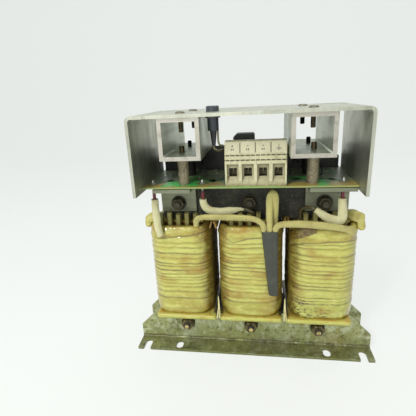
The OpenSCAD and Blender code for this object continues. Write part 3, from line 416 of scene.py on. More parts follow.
def make_aluminium(name, colour, dark, grain, rough=(0.26, 0.48), dirt=0.5, within=None, lit_top_above=None):
    """Mill-finish aluminium with drawing lines along one axis, smudges and scuffs. Within is the place along
    Y behind which it is greener, and the top is paler above a given height, painted light on the bracket's
    top face."""
    f = Finish(name, colour, rough=0.35, metal=0.85)
    stretch = [1.0, 1.0, 1.0]
    stretch[grain] = 0.04
    lines = f.noise(900, 3, stretch)
    streaks = f.noise(150, 4, stretch)
    smudge = f.noise(28, 5)
    if within is not None:
        f.tint(f.height(within, within + 0.8 * MM, axis=1), srgb(176, 184, 164))
    # Painted light: the top face is paler.
    if lit_top_above is not None:
        f.tint(f.height(lit_top_above, lit_top_above + 0.4 * MM), srgb(194, 197, 182))
    f.wash(lines, 0.45, 0.8, 0.35, dark)
    f.wash(streaks, 0.52, 0.70, 0.45, dark)
    f.wash(smudge, 0.48, 0.72, dirt, dark)
    f.mottle((1300, 2, 0.66, 0.72, 0.55, srgb(58, 54, 44)),
             (210, 4, 0.66, 0.74, 0.5, srgb(120, 104, 72)))
    f.roughness(smudge, *rough)
    f.bump(lines, 0.03, 0.5)
    f.bump(f.noise(160, 3), 0.05, 0.4)
    return f.mat


def make_zinc():
    """Old zinc plate: olive with grey bloom and dark pits, darker towards the bottom and along the fold."""
    f = Finish("zinc_olive", srgb(160, 164, 112), rough=0.45, metal=0.5)
    bloom = f.noise(34, 5)
    f.wash(bloom, 0.50, 0.66, 0.75, srgb(186, 192, 160))
    f.mottle((60, 5, 0.52, 0.68, 0.8, srgb(108, 106, 60)),
             (16, 3, 0.55, 0.7, 0.5, srgb(168, 158, 92)),
             (520, 4, 0.58, 0.65, 0.9, srgb(62, 58, 38)),
             (170, 5, 0.54, 0.64, 0.75, srgb(98, 100, 60)),
             (120, 5, 0.53, 0.64, 0.7, srgb(204, 210, 176)))
    f.wash(f.height(0.0042, 0.0015), 0.0, 1.0, 0.8, srgb(96, 100, 56))
    fold = f.math("MULTIPLY", f.height(0.0026, 0.0034), f.height(0.0068, 0.0046))
    f.tint_by(fold, f.band(f.noise(90, 4), 0.35, 0.6, 0.3, 0.85), srgb(70, 66, 38))
    f.roughness(bloom, 0.30, 0.6)
    f.bump(f.noise(300, 4), 0.06, 0.6)
    return f.mat


def make_core():
    """Stacked laminations along Y, dark and blotched with rust."""
    f = Finish("core_laminated", srgb(35, 35, 27), rough=0.6, metal=0.2)
    rust = f.noise(62, 6, rough=0.65)
    f.wash(rust, 0.50, 0.66, 0.75, srgb(78, 75, 58))
    f.mottle((24, 5, 0.52, 0.66, 0.6, srgb(76, 79, 64)),
             (34, 4, 0.58, 0.72, 0.6, srgb(80, 64, 44)),
             (150, 5, 0.52, 0.68, 0.85, srgb(24, 24, 20)),
             (700, 3, 0.60, 0.70, 0.7, srgb(132, 130, 112)))
    sheets = f.waves(320, along="Y", distort=0.4)
    f.wash(sheets, 0.75, 1.0, 0.45, srgb(24, 22, 20))
    f.roughness(rust, 0.45, 0.8)
    f.bump(sheets, 0.12, 0.6)
    f.bump(f.noise(500, 4), 0.08, 0.6)
    return f.mat


def make_board():
    """Green circuit board under a grey film of flux, bright green in patches, ochre along the front and round
    the pads."""
    f = Finish("board_green", srgb(118, 130, 102), rough=0.42, coat_weight=0.15, coat_roughness=0.2)
    f.mottle((30, 4, 0.42, 0.60, 0.8, srgb(142, 148, 124)),
             (55, 5, 0.52, 0.66, 0.5, srgb(96, 124, 84)))

    def area(x0, x1, y0, y1, colour, amount, soft=1.6, ragged=5.0):
        low, high = place(x0, y0, 0), place(x1, y1, 0)
        f.tint_by(f.patch(low, high, soft * MM, ragged * MM), amount, colour)

    green, ochre, brown = srgb(74, 196, 90), srgb(176, 150, 66), srgb(118, 94, 46)
    area(-120, 120, BOARD_FRONT - 5, BOARD_FRONT + 7, ochre, 0.75)
    area(-108, -90, -58, -38, ochre, 0.85)
    area(-47, -26, -57, -36, ochre, 0.7)
    area(-88, -50, -54, -25, green, 1.0)
    area(-70, -52, -20, -8, green, 0.7)
    area(-40, 30, BOARD_FRONT - 5, -55, green, 0.6)
    area(40, 60, -29, -17, green, 0.95)
    area(38, 67, -55, -43, ochre, 0.8)
    area(68, 78, -56, -26, green, 0.95)
    area(82, 105, -58, -37, ochre, 0.8)
    area(30, 66, -36, -31, brown, 0.8)
    area(-80, -48, -22, -17, brown, 0.75)
    for x, y in LEAD_TOPS:
        f.tint_by(f.spot(place(x, y, BOARD_Z1), 4.5 * MM, 3 * MM), 0.85, brown)
    f.mottle((260, 4, 0.60, 0.72, 0.6, srgb(84, 76, 46)))
    edge = f.height(place(0, BOARD_FRONT + 0.12, 0).y, place(0, BOARD_FRONT + 0.4, 0).y, axis=1)
    f.tint_by(f.band(edge, 1.0, 0.0), f.band(f.noise(60, 3), 0.35, 0.6, 0.55, 1.0), srgb(132, 150, 86))
    f.roughness(f.noise(90, 3), 0.25, 0.5)
    f.bump(f.noise(700, 2), 0.04, 0.5)
    return f.mat


def make_plastic(name, colour, worn, rough=0.45, grain=0.03, amount=0.45):
    f = Finish(name, colour, rough=rough)
    f.mottle((90, 4, 0.48, 0.75, amount, worn),
             (800, 3, 0.60, 0.74, amount, worn))
    f.roughness(f.noise(60, 3), rough - 0.1, rough + 0.15)
    f.bump(f.noise(1500, 2), grain, 0.6)
    return f.mat


def make_steel(name, colour, worn, rough=(0.3, 0.6), metal=0.8, black_beyond=None, dark_above=None, crest_glints=0.0):
    """Plated steel with tarnish and grime, black behind a place along Y and dark above a height if asked, and
    with pale dots of painted highlight on the thread crests if asked."""
    f = Finish(name, colour, rough=0.4, metal=metal)
    f.mottle((260, 5, 0.45, 0.68, 0.8, worn),
             (1100, 3, 0.58, 0.70, 0.6, srgb(40, 34, 26)))
    # Painted highlight: pale dots on the crests of the threads.
    if crest_glints:
        f.wash(f.cells(620, (1, 1, 0.7)), 0.32, 0.18, crest_glints, srgb(212, 204, 182))
    if black_beyond is not None:
        f.tint(f.height(black_beyond, black_beyond + 2 * MM, axis=1), srgb(34, 34, 32))
    if dark_above is not None:
        f.wash(f.height(dark_above, dark_above + 5 * MM), 0, 1, 0.8, srgb(52, 50, 40))
    f.roughness(f.noise(300, 3), *rough)
    f.bump(f.noise(900, 3), 0.04, 0.6)
    return f.mat


def make_flange():
    """Resin board of the coil formers, olive yellow, with amber varnish pooled on top."""
    f = Finish("former_board", srgb(188, 188, 92), rough=0.4, coat_weight=0.25, coat_roughness=0.2)
    f.mottle((60, 4, 0.46, 0.66, 0.6, srgb(206, 198, 112)),
             (90, 4, 0.55, 0.70, 0.5, srgb(174, 142, 58)))
    on_top = f.height(place(0, 0, BED_TOP - 0.7).z, place(0, 0, BED_TOP - 0.2).z)
    f.tint_by(on_top, f.band(f.noise(60, 4), 0.38, 0.62, 0.2, 0.85), srgb(172, 138, 50))
    f.mottle((420, 4, 0.58, 0.72, 0.6, srgb(118, 96, 46), (0.4, 1, 1)))
    for x in (-38.5, 38.5):
        shaded = f.patch(place(x - 6, -39, 0), place(x + 6, 60, 0), 1.5 * MM)
        f.tint_by(shaded, 0.9, srgb(44, 36, 20))
    f.bump(f.noise(240, 3), 0.15, 0.6)
    return f.mat


def make_core_wire():
    """Insulation of the leads' cores: dark red by the board, varnished brown lower down."""
    f = Finish("insulation_red", srgb(108, 34, 40), rough=0.4)
    f.mottle((90, 4, 0.48, 0.75, 0.5, srgb(66, 24, 28)))
    f.tint(f.height(place(0, 0, 199).z, place(0, 0, 196).z), srgb(80, 72, 42))
    return f.mat


def make_terminal_plastic():
    """Beige moulding, streaked with grime down from its grooves, with painted shade at its foot and in its
    recesses.
    """
    f = Finish("plastic_beige", srgb(196, 192, 156), rough=0.45)
    f.mottle((90, 4, 0.45, 0.72, 0.5, srgb(160, 152, 112)),
             (420, 4, 0.54, 0.70, 0.5, srgb(126, 116, 80), (1, 1, 0.35)))
    # Painted shade at the foot of the block.
    foot = f.height(place(0, 0, BOARD_Z1 + 6.5).z, place(0, 0, BOARD_Z1 + 0.5).z)
    f.tint_by(foot, f.band(f.noise(130, 4), 0.3, 0.6, 0.35, 0.9), srgb(118, 106, 62))
    # Painted shade in the recesses behind the front, below the label.
    inside = f.height(place(0, TERMINAL_FRONT + 1.2, 0).y, place(0, TERMINAL_FRONT + 3.5, 0).y, axis=1)
    low = f.height(place(0, 0, TERMINAL_TOP - 20).z, place(0, 0, TERMINAL_TOP - 22).z)
    f.tint_by(f.math("MULTIPLY", inside, low), 0.45, srgb(112, 102, 70))
    f.roughness(f.noise(60, 3), 0.38, 0.6)
    f.bump(f.noise(1500, 2), 0.03, 0.6)
    return f.mat


def make_copper():
    f = Finish("winding_varnished", srgb(132, 74, 36), rough=0.35, metal=0.35)
    turns = f.waves(420, along="Z")
    f.wash(turns, 0.6, 0.1, 0.7, srgb(66, 36, 20))
    f.mottle((70, 4, 0.5, 0.7, 0.5, srgb(176, 118, 60)))
    f.bump(turns, 0.4, 0.7)
    return f.mat


# Plain mouldings and papers: name, colour, worn colour, roughness, grain, amount of wear
PLASTICS = {
    # The first entry is a painted highlight, a pale strip along the tubes' inner corners.
    "corner_glint": ("painted_corner_glint", (226, 228, 214), (176, 178, 160), 0.4),
    "knot_tape": ("knot_tape", (192, 186, 106), (146, 118, 48), 0.34, 0.25, 0.8),
    "fold_tape": ("tape_fold", (150, 118, 56), (84, 58, 26), 0.45, 0.2, 0.8),
    "track": ("board_track", (82, 132, 84), (104, 116, 88), 0.38, 0.02, 0.8),
    "fuse_black": ("fuse_black", (52, 58, 66), (84, 90, 96), 0.32),
    "strip_black": ("strip_black", (34, 35, 33), (58, 58, 54), 0.45),
    # Painted shade: dark strips in the terminal block's grooves.
    "groove_shade": ("groove_shade", (74, 68, 46), (48, 44, 32), 0.6),
    "fibre": ("fibre_red", (88, 44, 30), (60, 32, 22), 0.6),
    "black_plastic": ("plastic_black", (62, 64, 60), (92, 94, 84), 0.36),
    "black_rubber": ("rubber_black", (42, 44, 48), (72, 74, 76), 0.5),
    "label_plastic": ("plastic_label", (204, 200, 168), (166, 158, 118), 0.5),
    "shrink_grey": ("shrink_grey", (58, 60, 51), (84, 86, 74), 0.45, 0.06),
    "wire_olive": ("wire_olive", (128, 122, 84), (84, 78, 50), 0.4),
    "duct_stick": ("stick_resin", (122, 118, 62), (74, 56, 28), 0.4, 0.2, 0.9),
    "paper": ("paper_pale", (214, 206, 152), (150, 124, 62), 0.6, 0.05),
}
# Plain metals: name, colour, worn colour, roughness
METALS = {
    "dark_steel": ("steel_dark", (74, 72, 60), (40, 38, 30), (0.45, 0.7)),
    "screw_steel": ("steel_screw", (128, 124, 108), (78, 72, 58), (0.4, 0.6)),
    # Brass, brightened as a painted highlight on the lower bolts' ends.
    "brass_and_glint_end": ("brass_and_glint_end", (206, 186, 128), (112, 98, 60), (0.3, 0.5)),
    "tinned": ("solder_tinned", (200, 200, 192), (140, 138, 126), (0.2, 0.45)),
    "cage_steel": ("steel_cage", (124, 116, 94), (66, 60, 46), (0.4, 0.6)),
}
MATERIALS = {}


def make_materials():
    m = MATERIALS
    m["tape"] = make_tape("tape_varnished", True)
    m["tape_flank"] = make_tape("tape_flank", False)
    m["white_sleeve"] = make_sleeve("sleeve_white", srgb(224, 220, 174), srgb(186, 172, 112))
    m["cream_sleeve"] = make_sleeve("sleeve_cream", srgb(200, 192, 118), srgb(150, 132, 66))
    m["bracket"] = make_aluminium("bracket_aluminium", srgb(192, 194, 178), srgb(126, 126, 108), 2,
                                  lit_top_above=place(0, 0, DECK_TOP - 0.6).z)
    m["tube"] = make_aluminium("tube_aluminium", srgb(188, 184, 172), srgb(134, 130, 114), 1,
                               within=place(0, TUBE_FRONT + 0.6, 0).y)
    for make, table in ((make_plastic, PLASTICS), (make_steel, METALS)):
        for key, (name, colour, worn, *finish) in table.items():
            m[key] = make(name, srgb(*colour), srgb(*worn), *finish)
    m["angle"] = make_aluminium("angle_aluminium", srgb(138, 142, 120), srgb(92, 92, 74), 0, (0.45, 0.65))
    m["zinc_steel"] = make_zinc()
    m["core_steel"] = make_core()
    m["board_green"] = make_board()
    m["brassy_steel"] = make_steel("steel_brassy", srgb(122, 112, 78), srgb(58, 52, 36), (0.4, 0.65),
                                   dark_above=place(0, 0, 120).z)
    rear_row = place(0, -24, 0).y
    m["standoff_steel"] = make_steel("steel_standoff", srgb(146, 136, 112), srgb(96, 86, 64),
                                    (0.45, 0.7), 0.5, black_beyond=rear_row, crest_glints=0.6)
    m["stud_steel"] = make_steel("steel_stud", srgb(96, 84, 62), srgb(48, 42, 32), black_beyond=rear_row)
    m["beige_plastic"] = make_terminal_plastic()
    m["red_insulation"] = make_core_wire()
    m["former_board"] = make_flange()
    m["winding_copper"] = make_copper()
    glass = Finish("fuse_glass", (0.9, 0.92, 0.92, 1), rough=0.08)
    glass.wash(glass.noise(300, 2), 0.4, 0.7, 0.3, srgb(200, 205, 205))
    m["fuse_glass"] = glass.mat


# Mesh helpers

def add_piece(name, verts, faces, material, smooth=True, uvs=None, values=None):
    """A mesh object at the origin, its vertices in row-frame metres, riding on the body."""
    mesh = bpy.data.meshes.new(name)
    mesh.from_pydata([tuple(v) for v in verts], [], faces)
    mesh.update()
    if uvs:
        layer = mesh.uv_layers.new(name="along")
        for loop in mesh.loops:
            layer.data[loop.index].uv = uvs[loop.vertex_index]
    for key, numbers in (values or {}).items():
        layer = mesh.attributes.new(key, "FLOAT", "POINT")
        layer.data.foreach_set("value", numbers)
    for face in mesh.polygons:
        face.use_smooth = smooth
    mesh.materials.append(MATERIALS[material])
    obj = bpy.data.objects.new(name, mesh)
    scene.collection.objects.link(obj)
    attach(obj, "root")
    return obj


def loft(rings, closed=False):
    """Faces over rings of equal length. Open ends get a cap; a closed loft meets itself."""
    sides, count = len(rings[0]), len(rings)
    verts = [v for ring in rings for v in ring]
    faces = []
    for i in range(count if closed else count - 1):
        a, b = i * sides, (i + 1) % count * sides
        faces += [(a + k, a + (k + 1) % sides, b + (k + 1) % sides, b + k) for k in range(sides)]
    if not closed:
        faces.append(tuple(reversed(range(sides))))
        faces.append(tuple(range((count - 1) * sides, count * sides)))
    return verts, faces


def smooth_route(points, steps):
    """The CAD source's curve through its route points."""
    p = [Vector(q) for q in points]
    route = []
    for i in range(len(p) - 1):
        a, b, c, d = p[max(i - 1, 0)], p[i], p[i + 1], p[min(i + 2, len(p) - 1)]
        for s in range(steps):
            t = s / steps
            route.append(0.5 * (2 * b + (c - a) * t + (2 * a - 5 * b + 4 * c - d) * t * t
                                + (3 * b - a - 3 * c + d) * t ** 3))
    route.append(p[-1])
    return route


def frames_along(route):
    """(point, side, up, distance) at each point, carried along without twist."""
    side = None
    total = 0.0
    out = []
    for i, point in enumerate(route):
        heading = (route[min(i + 1, len(route) - 1)] - route[max(i - 1, 0)]).normalized()
        if side is None:
            side = Vector((0, 1, 0)) if abs(heading.x) > 0.9 else Vector((1, 0, 0))
        side = (side - heading * side.dot(heading)).normalized()
        if i:
            total += (point - route[i - 1]).length
        out.append((point, side.copy(), heading.cross(side), total))
    return out


def join_pieces(name, parts, material, smooth=True):
    """One object from several lists of (verts, faces)."""
    verts, faces = [], []
    for part_verts, part_faces in parts:
        start = len(verts)
        verts += part_verts
        faces += [tuple(start + i for i in face) for face in part_faces]
    return add_piece(name, verts, faces, material, smooth)


def block(x0, x1, y0, y1, z0, z1):
    """A plain box, in core millimetres."""
    ring = [(x0, y0), (x1, y0), (x1, y1), (x0, y1)]
    return loft([[place(x, y, z) for x, y in ring] for z in (z0, z1)])


def across(axis):
    """Two unit directions across a unit axis."""
    side = Vector((1, 0, 0)) if abs(axis.x) < 0.5 else Vector((0, 0, 1))
    return side, axis.cross(side)


def screw_thread(start, axis, diameter, length, pitch, depth=0.55, sides=18, blunt=0.6):
    """A threaded rod from start along a unit axis, in core millimetres."""
    axis = Vector(axis)
    side, up = across(axis)
    step = pitch / 4
    rings = []
    count = max(4, int(length / step))
    for i in range(count + 1):
        along = length * i / count
        ring = []
        for k in range(sides):
            a = 2 * math.pi * k / sides
            phase = (along / pitch - k / sides) % 1.0
            cut = depth * pitch * abs(2 * phase - 1)
            radius = diameter / 2 - cut
            end = min(along, length - along)
            radius -= max(0.0, blunt - end) * 0.8
            out = math.cos(a) * side + math.sin(a) * up
            ring.append(place(*(Vector(start) + axis * along + radius * out)))
        rings.append(ring)
    return loft(rings)


def lathe(middle, axis, profile, sides=28):
    """A turned shape: profile is (distance along the axis, radius), in millimetres."""
    axis = Vector(axis)
    side, up = across(axis)
    turn = [math.cos(a) * side + math.sin(a) * up
            for a in (2 * math.pi * k / sides for k in range(sides))]
    return loft([[place(*(Vector(middle) + axis * along + radius * out)) for out in turn]
                 for along, radius in profile])


def bevel(node, width):
    """Softens a CAD node's edges for the render."""
    obj = nodes[node]
    mod = obj.modifiers.new("edges", "BEVEL")
    mod.width = width * MM
    mod.segments = 2
    mod.limit_method = "ANGLE"
    mod.angle_limit = math.radians(35)
    mod.harden_normals = False


def paint(node, material):
    for slot in nodes[node].material_slots:
        slot.material = MATERIALS[material]


def outline(half_w, half_d, radius, count):
    """Points and outward normals round a rounded rectangle, evenly spaced, from the
    middle of its front."""
    straight_w, straight_d, arc = half_w - radius, half_d - radius, math.pi * radius / 2
    legs = [("x", -1, straight_w), ("c", 0, arc), ("y", 1, 2 * straight_d), ("c", 1, arc),
            ("x", 1, 2 * straight_w), ("c", 2, arc), ("y", -1, 2 * straight_d), ("c", 3, arc),
            ("x", -1, straight_w)]
    corners = [(-straight_w, -straight_d, 270), (-straight_w, straight_d, 180),
               (straight_w, straight_d, 90), (straight_w, -straight_d, 0)]
    total = sum(length for _, _, length in legs)
    out = []
    for i in range(count):
        s = total * i / count
        for n, (kind, sign, length) in enumerate(legs):
            if s <= length or n == len(legs) - 1:
                break
            s -= length
        if kind == "c":
            cx, cy, start = corners[sign]
            a = math.radians(start - 90 * s / arc)
            normal = Vector((math.cos(a), math.sin(a)))
            out.append((Vector((cx, cy)) + radius * normal, normal))
        elif kind == "x":
            x = {0: -s, 4: -straight_w + s, 8: straight_w - s}[n]
            y = half_d if n == 4 else -half_d
            out.append((Vector((x, y)), Vector((0, 1 if n == 4 else -1))))
        else:
            y = -straight_d + s if n == 2 else straight_d - s
            x = -half_w if n == 2 else half_w
            out.append((Vector((x, y)), Vector((-1 if n == 2 else 1, 0))))
    return out


# Coils

# How far the taped skin draws in at both ends: (height above the floor, outset)
COIL_PROFILE = [(50.5, -6.2), (51.5, -5.4), (53.5, -3.2), (56, -1.4), (59, -0.4), (66, 0.1), (80, 0.3),
                (110, 0.35), (140, 0.3), (152, 0.1), (158, -0.5), (162, -1.3), (164.5, -2.4),
                (165.5, -3.6)]
# Lower edge of the folded end of the tape on each coil's front: (x from its middle, height)
FOLDS = {"left": [(-36, 153), (-24, 151.5), (-6, 154), (10, 155), (26, 157.5), (36, 159)],
         "mid": [(-36, 158), (-29, 154), (-17, 147.5), (-3, 152.5), (14, 154), (36, 153)],
         "right": [(-36, 139), (-31, 144), (-21, 148), (-8, 148), (4, 150), (36, 151)]}
# Edges of the tape's turns up each coil, the first on top of its plain lowest band:
# (height, how dark, half width of the line)
TURNS = {
    "left": [(75.7, 0.6, 0.9), (84.1, 0.3, 1.2), (90.8, 0.65, 0.8), (95.5, 0.25, 1.0), (100.7, 0.8, 0.7),
             (104.7, 0.7, 0.6), (108.4, 0.5, 0.7), (113.0, 1.0, 0.8), (117.4, 0.7, 0.6), (120.9, 1.0, 0.8),
             (127.5, 0.15, 1.4), (133.3, 0.85, 0.9), (140.7, 0.45, 0.9), (147.0, 0.25, 1.2)],
    "mid": [(74.2, 1.0, 0.9), (79.4, 0.3, 1.0), (86.7, 0.5, 0.8), (91.5, 0.3, 0.9), (96.1, 0.9, 0.9),
            (102.5, 0.6, 0.7), (106.8, 0.3, 0.9), (113.1, 0.7, 0.7), (117.3, 0.8, 0.7), (123.5, 1.0, 0.9),
            (126.6, 0.6, 0.6), (130.3, 0.6, 0.7), (134.4, 0.8, 0.8), (141.8, 0.35, 1.2), (146.5, 0.5, 0.8)],
    "right": [(74.7, 1.0, 1.2), (78.0, 0.8, 0.7), (81.5, 0.7, 0.7), (92.1, 0.5, 0.9), (96.3, 0.6, 0.8),
              (101.8, 0.25, 1.1), (107.3, 0.7, 0.7), (111.4, 0.9, 0.9), (114.8, 0.6, 0.7), (122.1, 0.8, 0.8),
              (126.8, 0.8, 0.8), (132.7, 0.7, 0.8), (141.8, 0.4, 1.1), (146.0, 0.3, 1.0)],
}
# Where the left coil's tape bulges out glossy: (x from its middle, height)
BULGES = ((-10.5, 141.5), (-5.0, 121.8))
# Numbers for the parts of the skin that are no turns: its plain lowest band, its folded end
LOWEST_BAND, FOLDED_END = -1, 40
# What the tape's material reads inside the duct, where it is mostly painted shade
LINING_MARKS = {"tone_and_highlight": 0.2, "groove": 0.1, "stain_and_shade": 0.9, "soot_and_shade": 0.3, "gap_shade_and_scorch": 0.75, "hue": 0.5}


def height_on(points, x):
    """The value at x on a line through points that are in order of x."""
    for (x0, y0), (x1, y1) in zip(points, points[1:]):
        if x <= x1:
            return y0 + (y1 - y0) * max(0.0, x - x0) / (x1 - x0)
    return points[-1][1]


def drift(x, y, z, scale, seed):
    """A smooth wander between -1 and 1, in features of about scale millimetres."""
    return noise.noise(Vector((x / scale + seed * 3.7, y / scale, z / scale)))


def tape_skin(turns, edges, fold, x, y, z, seed):
    """How far the tape stands out at a point, how much pale tone and painted highlight it takes, falling to
    painted shade just above each turn's lower edge, how much groove line it has, and the number of its turn.
    Edges are the heights of the turns' edges at this x and y, fold is the height of the folded end's lower
    edge."""
    if z > fold:
        above = z - fold
        crease = 0.85 * drift(x, y, z * 3.0, 16, seed + 2) + 0.4 * drift(x, y, z, 5, seed + 3)
        tone_and_highlight = 0.6 + 0.8 * drift(x, y, z * 2, 14, seed + 4)
        groove = 0.95 * math.exp(-(above / 0.9) ** 2)
        return 0.15 + 0.75 * min(1.0, above / 0.9) + crease, tone_and_highlight, groove, FOLDED_END
    if z < edges[0]:
        crumple = 0.45 * drift(x, y, z * 2.2, 15, seed + 5) + 0.25 * drift(x, y, z, 5, seed + 6)
        below = edges[0] - z
        tone_and_highlight = 0.5 + 0.8 * drift(x, y, z * 2, 12, seed + 4)
        groove = 0.8 * math.exp(-(below / 0.9) ** 2)
        return 0.15 + 0.35 * min(1.0, below / 1.2) + crumple, tone_and_highlight, groove, LOWEST_BAND
    n = bisect.bisect_right(edges, z) - 1
    low = edges[n]
    high = edges[n + 1] if n + 1 < len(edges) else fold
    pitch = max(0.5, high - low)
    share = min(1.0, (z - low) / pitch)
    cord = math.sin(math.pi * share ** 0.8) ** 0.5 if 0 < share < 1 else 0.0
    groove = 0.0
    for k in (n, n + 1):
        if k < len(turns):
            kept = min(1.0, max(0.1, 0.7 + 1.7 * drift(x, y, turns[k][0] * 3, 28, seed + 7)))
            groove += turns[k][1] * kept * math.exp(-((z - edges[k]) / turns[k][2]) ** 2)
    near_fold = max(0.0, 1 - (fold - z) / 1.4)
    rise = (0.2 + 0.07 * pitch) * (0.8 + 0.6 * drift(x, y, low, 30, seed + 8))
    out = rise * (cord - 0.45) + 0.3 * drift(x, y, z * 1.6, 7, seed + 9) - 0.35 * groove - 0.4 * near_fold
    # The second value is painted highlight on the bulge's top, falling to painted shade just above its lower
    # edge.
    return out, cord - 0.3 * (1 - share) ** 3, min(1.0, groove + 0.8 * near_fold), n


def in_gap(side, normal):
    """How far a coil's surface turns into the gap beside its neighbour, from 0 to 1."""
    left, right = side != "left", side != "right"
    return max(-normal.x if left else 0.0, normal.x if right else 0.0, 0.0)


def stand_out(side, x, y, z, normal, skin, seed):
    """How far a coil's surface lies outside its former's outline: the skin on the drawn-in
    profile, the belly into a gap and the left coil's bulges."""
    bow = 0.5 * (1 - (x / COIL_HALF_W) ** 2) if abs(normal.y) > 0.9 else 0.0
    sway = 0.5 * drift(x, y, z, 40, seed + 10)
    out = min(height_on(COIL_PROFILE, z) + skin + bow + sway - 0.35, 0.8)
    inner = min(1.0, (z - WINDING_Z0) / 12, (WINDING_Z1 - z) / 12)
    belly = max(0.0, 1 - (y / COIL_HALF_D) ** 2) * inner
    full = 0.4 if side == "left" or (side == "mid" and normal.x < 0) else 1.5
    out += full * belly * in_gap(side, normal) * (1 + 0.5 * drift(x, y, z, 22, seed + 13))
    if side == "left" and normal.y < -0.5:
        for bulge_x, bulge_z in BULGES:
            out += 1.2 * math.exp(-((x - bulge_x) / 6) ** 2 - ((z - bulge_z) / 2.2) ** 2)
    return out


def marks_on(side, x, y, z, normal, tone_and_highlight, groove, turn, seed):
    """What the tape's material reads at a point: its pale tone with painted highlight on the bulges' tops,
    its groove lines, its stains with painted shade on the flanks and under the bulges, its sooty marks, and
    painted shade in the gap beside a neighbour. The right coil's foot is burnt, and so is a wedge at its top."""
    burnt = side == "right"
    to_gap = in_gap(side, normal)
    foot = max(0.0, 1 - (z - WINDING_Z0) / 8)
    head = max(0.0, 1 - (WINDING_Z1 - z) / 7)
    # The next two values are painted shade: darker on the coils' sides and beneath each bulge.
    flank = min(1.0, max(0.0, (abs(normal.x) - 0.35) * 1.4))
    under = 0.5 * max(0.0, 0.55 - tone_and_highlight) if LOWEST_BAND < turn < FOLDED_END else 0.0
    patches = max(0.0, 2.0 * drift(x, y, z * 1.6, 24, seed + 11))
    corner = min(1.0, max(0.0, to_gap - 0.05) * 2.5) * max(0.0, min(1.0, (z - 142) / 14))
    wedge = 1.0 if burnt and x < -9 and z > 150 and x + 36 < (z - 148) * 2.1 and normal.y < 0 else 0.0
    folded = max(0.0, 0.35 + 0.9 * drift(x, y, z * 2, 20, seed + 14)) if turn == FOLDED_END else 0.0
    low = max(0.0, 1 - (z - WINDING_Z0) / (30 if burnt else 7))
    seared = 0.6 * max(0.0, 1 - (z - 50) / 60) if burnt and normal.x < -0.2 else 0.0
    sooty_edge = 0.7 * groove if burnt and turn <= 1 else 0.0
    ragged = 0.25 * drift(x, y, z, 9, seed + 12) + 0.15 * groove
    return {
        # Painted highlight on the bulges, held back on the flanks as painted shade.
        "tone_and_highlight": tone_and_highlight * (1 - 0.5 * flank),
        "groove": groove,
        "stain_and_shade": min(1.0, 1.3 * foot + head + 0.5 * flank + patches + wedge + corner + under
                     + 0.35 * groove + folded),
        # The groove-and-flank term is painted shade along the lines on the coils' sides.
        "soot_and_shade": min(1.0, (1.0 if burnt and x < 8 else 0.35) * low + seared
                    + 0.75 * wedge + 0.5 * corner + sooty_edge + 0.2 * groove * flank),
        # Painted shade in the gap beside a neighbour, and the burnt wedge.
        "gap_shade_and_scorch": min(1.0, max(wedge, (to_gap - 0.5 + ragged) * 2.6)),
    }


def lining_rings(x_mid, seed, rim, duct):
    """Rings from the top of the tape over into the duct and down to its foot."""
    verts = []
    for z, inset in ((WINDING_Z1, 0.45), (WINDING_Z1 - 0.1, 1.0), (110.0, 1.0), (50.6, 1.0),
                     (WINDING_Z0, 0.5)):
        for k, ((outer, normal), (inner, _)) in enumerate(zip(rim, duct)):
            q = outer + normal * -3.6
            q = q + (inner - q) * inset
            ripple = 0.25 * noise.noise(Vector((k * 0.35, inset * 4, seed))) if z > 160 and inset < 1 else 0
            verts.append(place(x_mid + q.x, q.y, min(z + ripple, WINDING_Z1 + TAPE_PROUD)))
    return verts


def add_coil(name, side, x_mid, seed, columns=224, row_height=0.56):
    """The taped winding: turns of tape with their edges, folds, stains, painted highlight and painted shade,
    and dark lines over the former's rounded outline, with the duct left open inside."""
    turns = TURNS[side]
    rng = random.Random(seed)
    hues = {n: rng.random() for n in range(LOWEST_BAND, FOLDED_END + 1)}
    rim = outline(COIL_HALF_W, COIL_HALF_D, COIL_CORNER_R, columns)
    duct = outline(DUCT_HALF_W, DUCT_HALF_D, DUCT_CORNER_R, columns)
    edges = [[z + 1.7 * drift(p.x, p.y, n * 11, 40, seed) + 0.45 * drift(p.x, p.y, n * 5, 9, seed + 1)
              for n, (z, _, _) in enumerate(turns)] for p, _ in rim]
    rows = round((WINDING_Z1 - WINDING_Z0) / row_height)
    verts = []
    values = {key: [] for key in LINING_MARKS}
    for i in range(rows + 1):
        z = WINDING_Z0 + (WINDING_Z1 - WINDING_Z0) * i / rows
        for (point, normal), heights in zip(rim, edges):
            x, y = point
            fold = height_on(FOLDS[side], x) if normal.y < -0.3 else 152 + 3 * drift(x, y, 0, 30, seed)
            skin, tone_and_highlight, groove, turn = tape_skin(turns, heights, fold, x, y, z, seed)
            out = stand_out(side, x, y, z, normal, skin, seed)
            verts.append(place(x_mid + x + normal.x * out, y + normal.y * out, z))
            values["hue"].append(hues[turn])
            for key, value in marks_on(side, x, y, z, normal, tone_and_highlight, groove, turn, seed).items():
                values[key].append(value)
    lining = lining_rings(x_mid, seed, rim, duct)
    verts += lining
    for key, value in LINING_MARKS.items():
        values[key] += [value] * len(lining)
    count = len(verts) // columns
    faces = [(i * columns + k, (i + 1) % count * columns + k,
              (i + 1) % count * columns + (k + 1) % columns, i * columns + (k + 1) % columns)
             for i in range(count) for k in range(columns)]
    coil = add_piece(name, verts, faces, "tape", values=values)
    coil.data.materials.append(MATERIALS["tape_flank"])
    for n, face in enumerate(coil.data.polygons):
        if n < rows * columns and in_gap(side, rim[n % columns][1]) > 0.75:
            face.material_index = 1
    return coil


def add_coils():
    for side, x_mid, seed in zip(("left", "mid", "right"), LIMBS, (11, 27, 43)):
        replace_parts(add_coil(f"taped_coil_{side}", side, x_mid, seed), f"outer_winding_{side}")
        paint(f"inner_winding_{side}", "winding_copper")
        paint(f"duct_sticks_{side}", "duct_stick")
        paint(f"former_{side}", "former_board")
        bevel(f"former_{side}", 0.5)


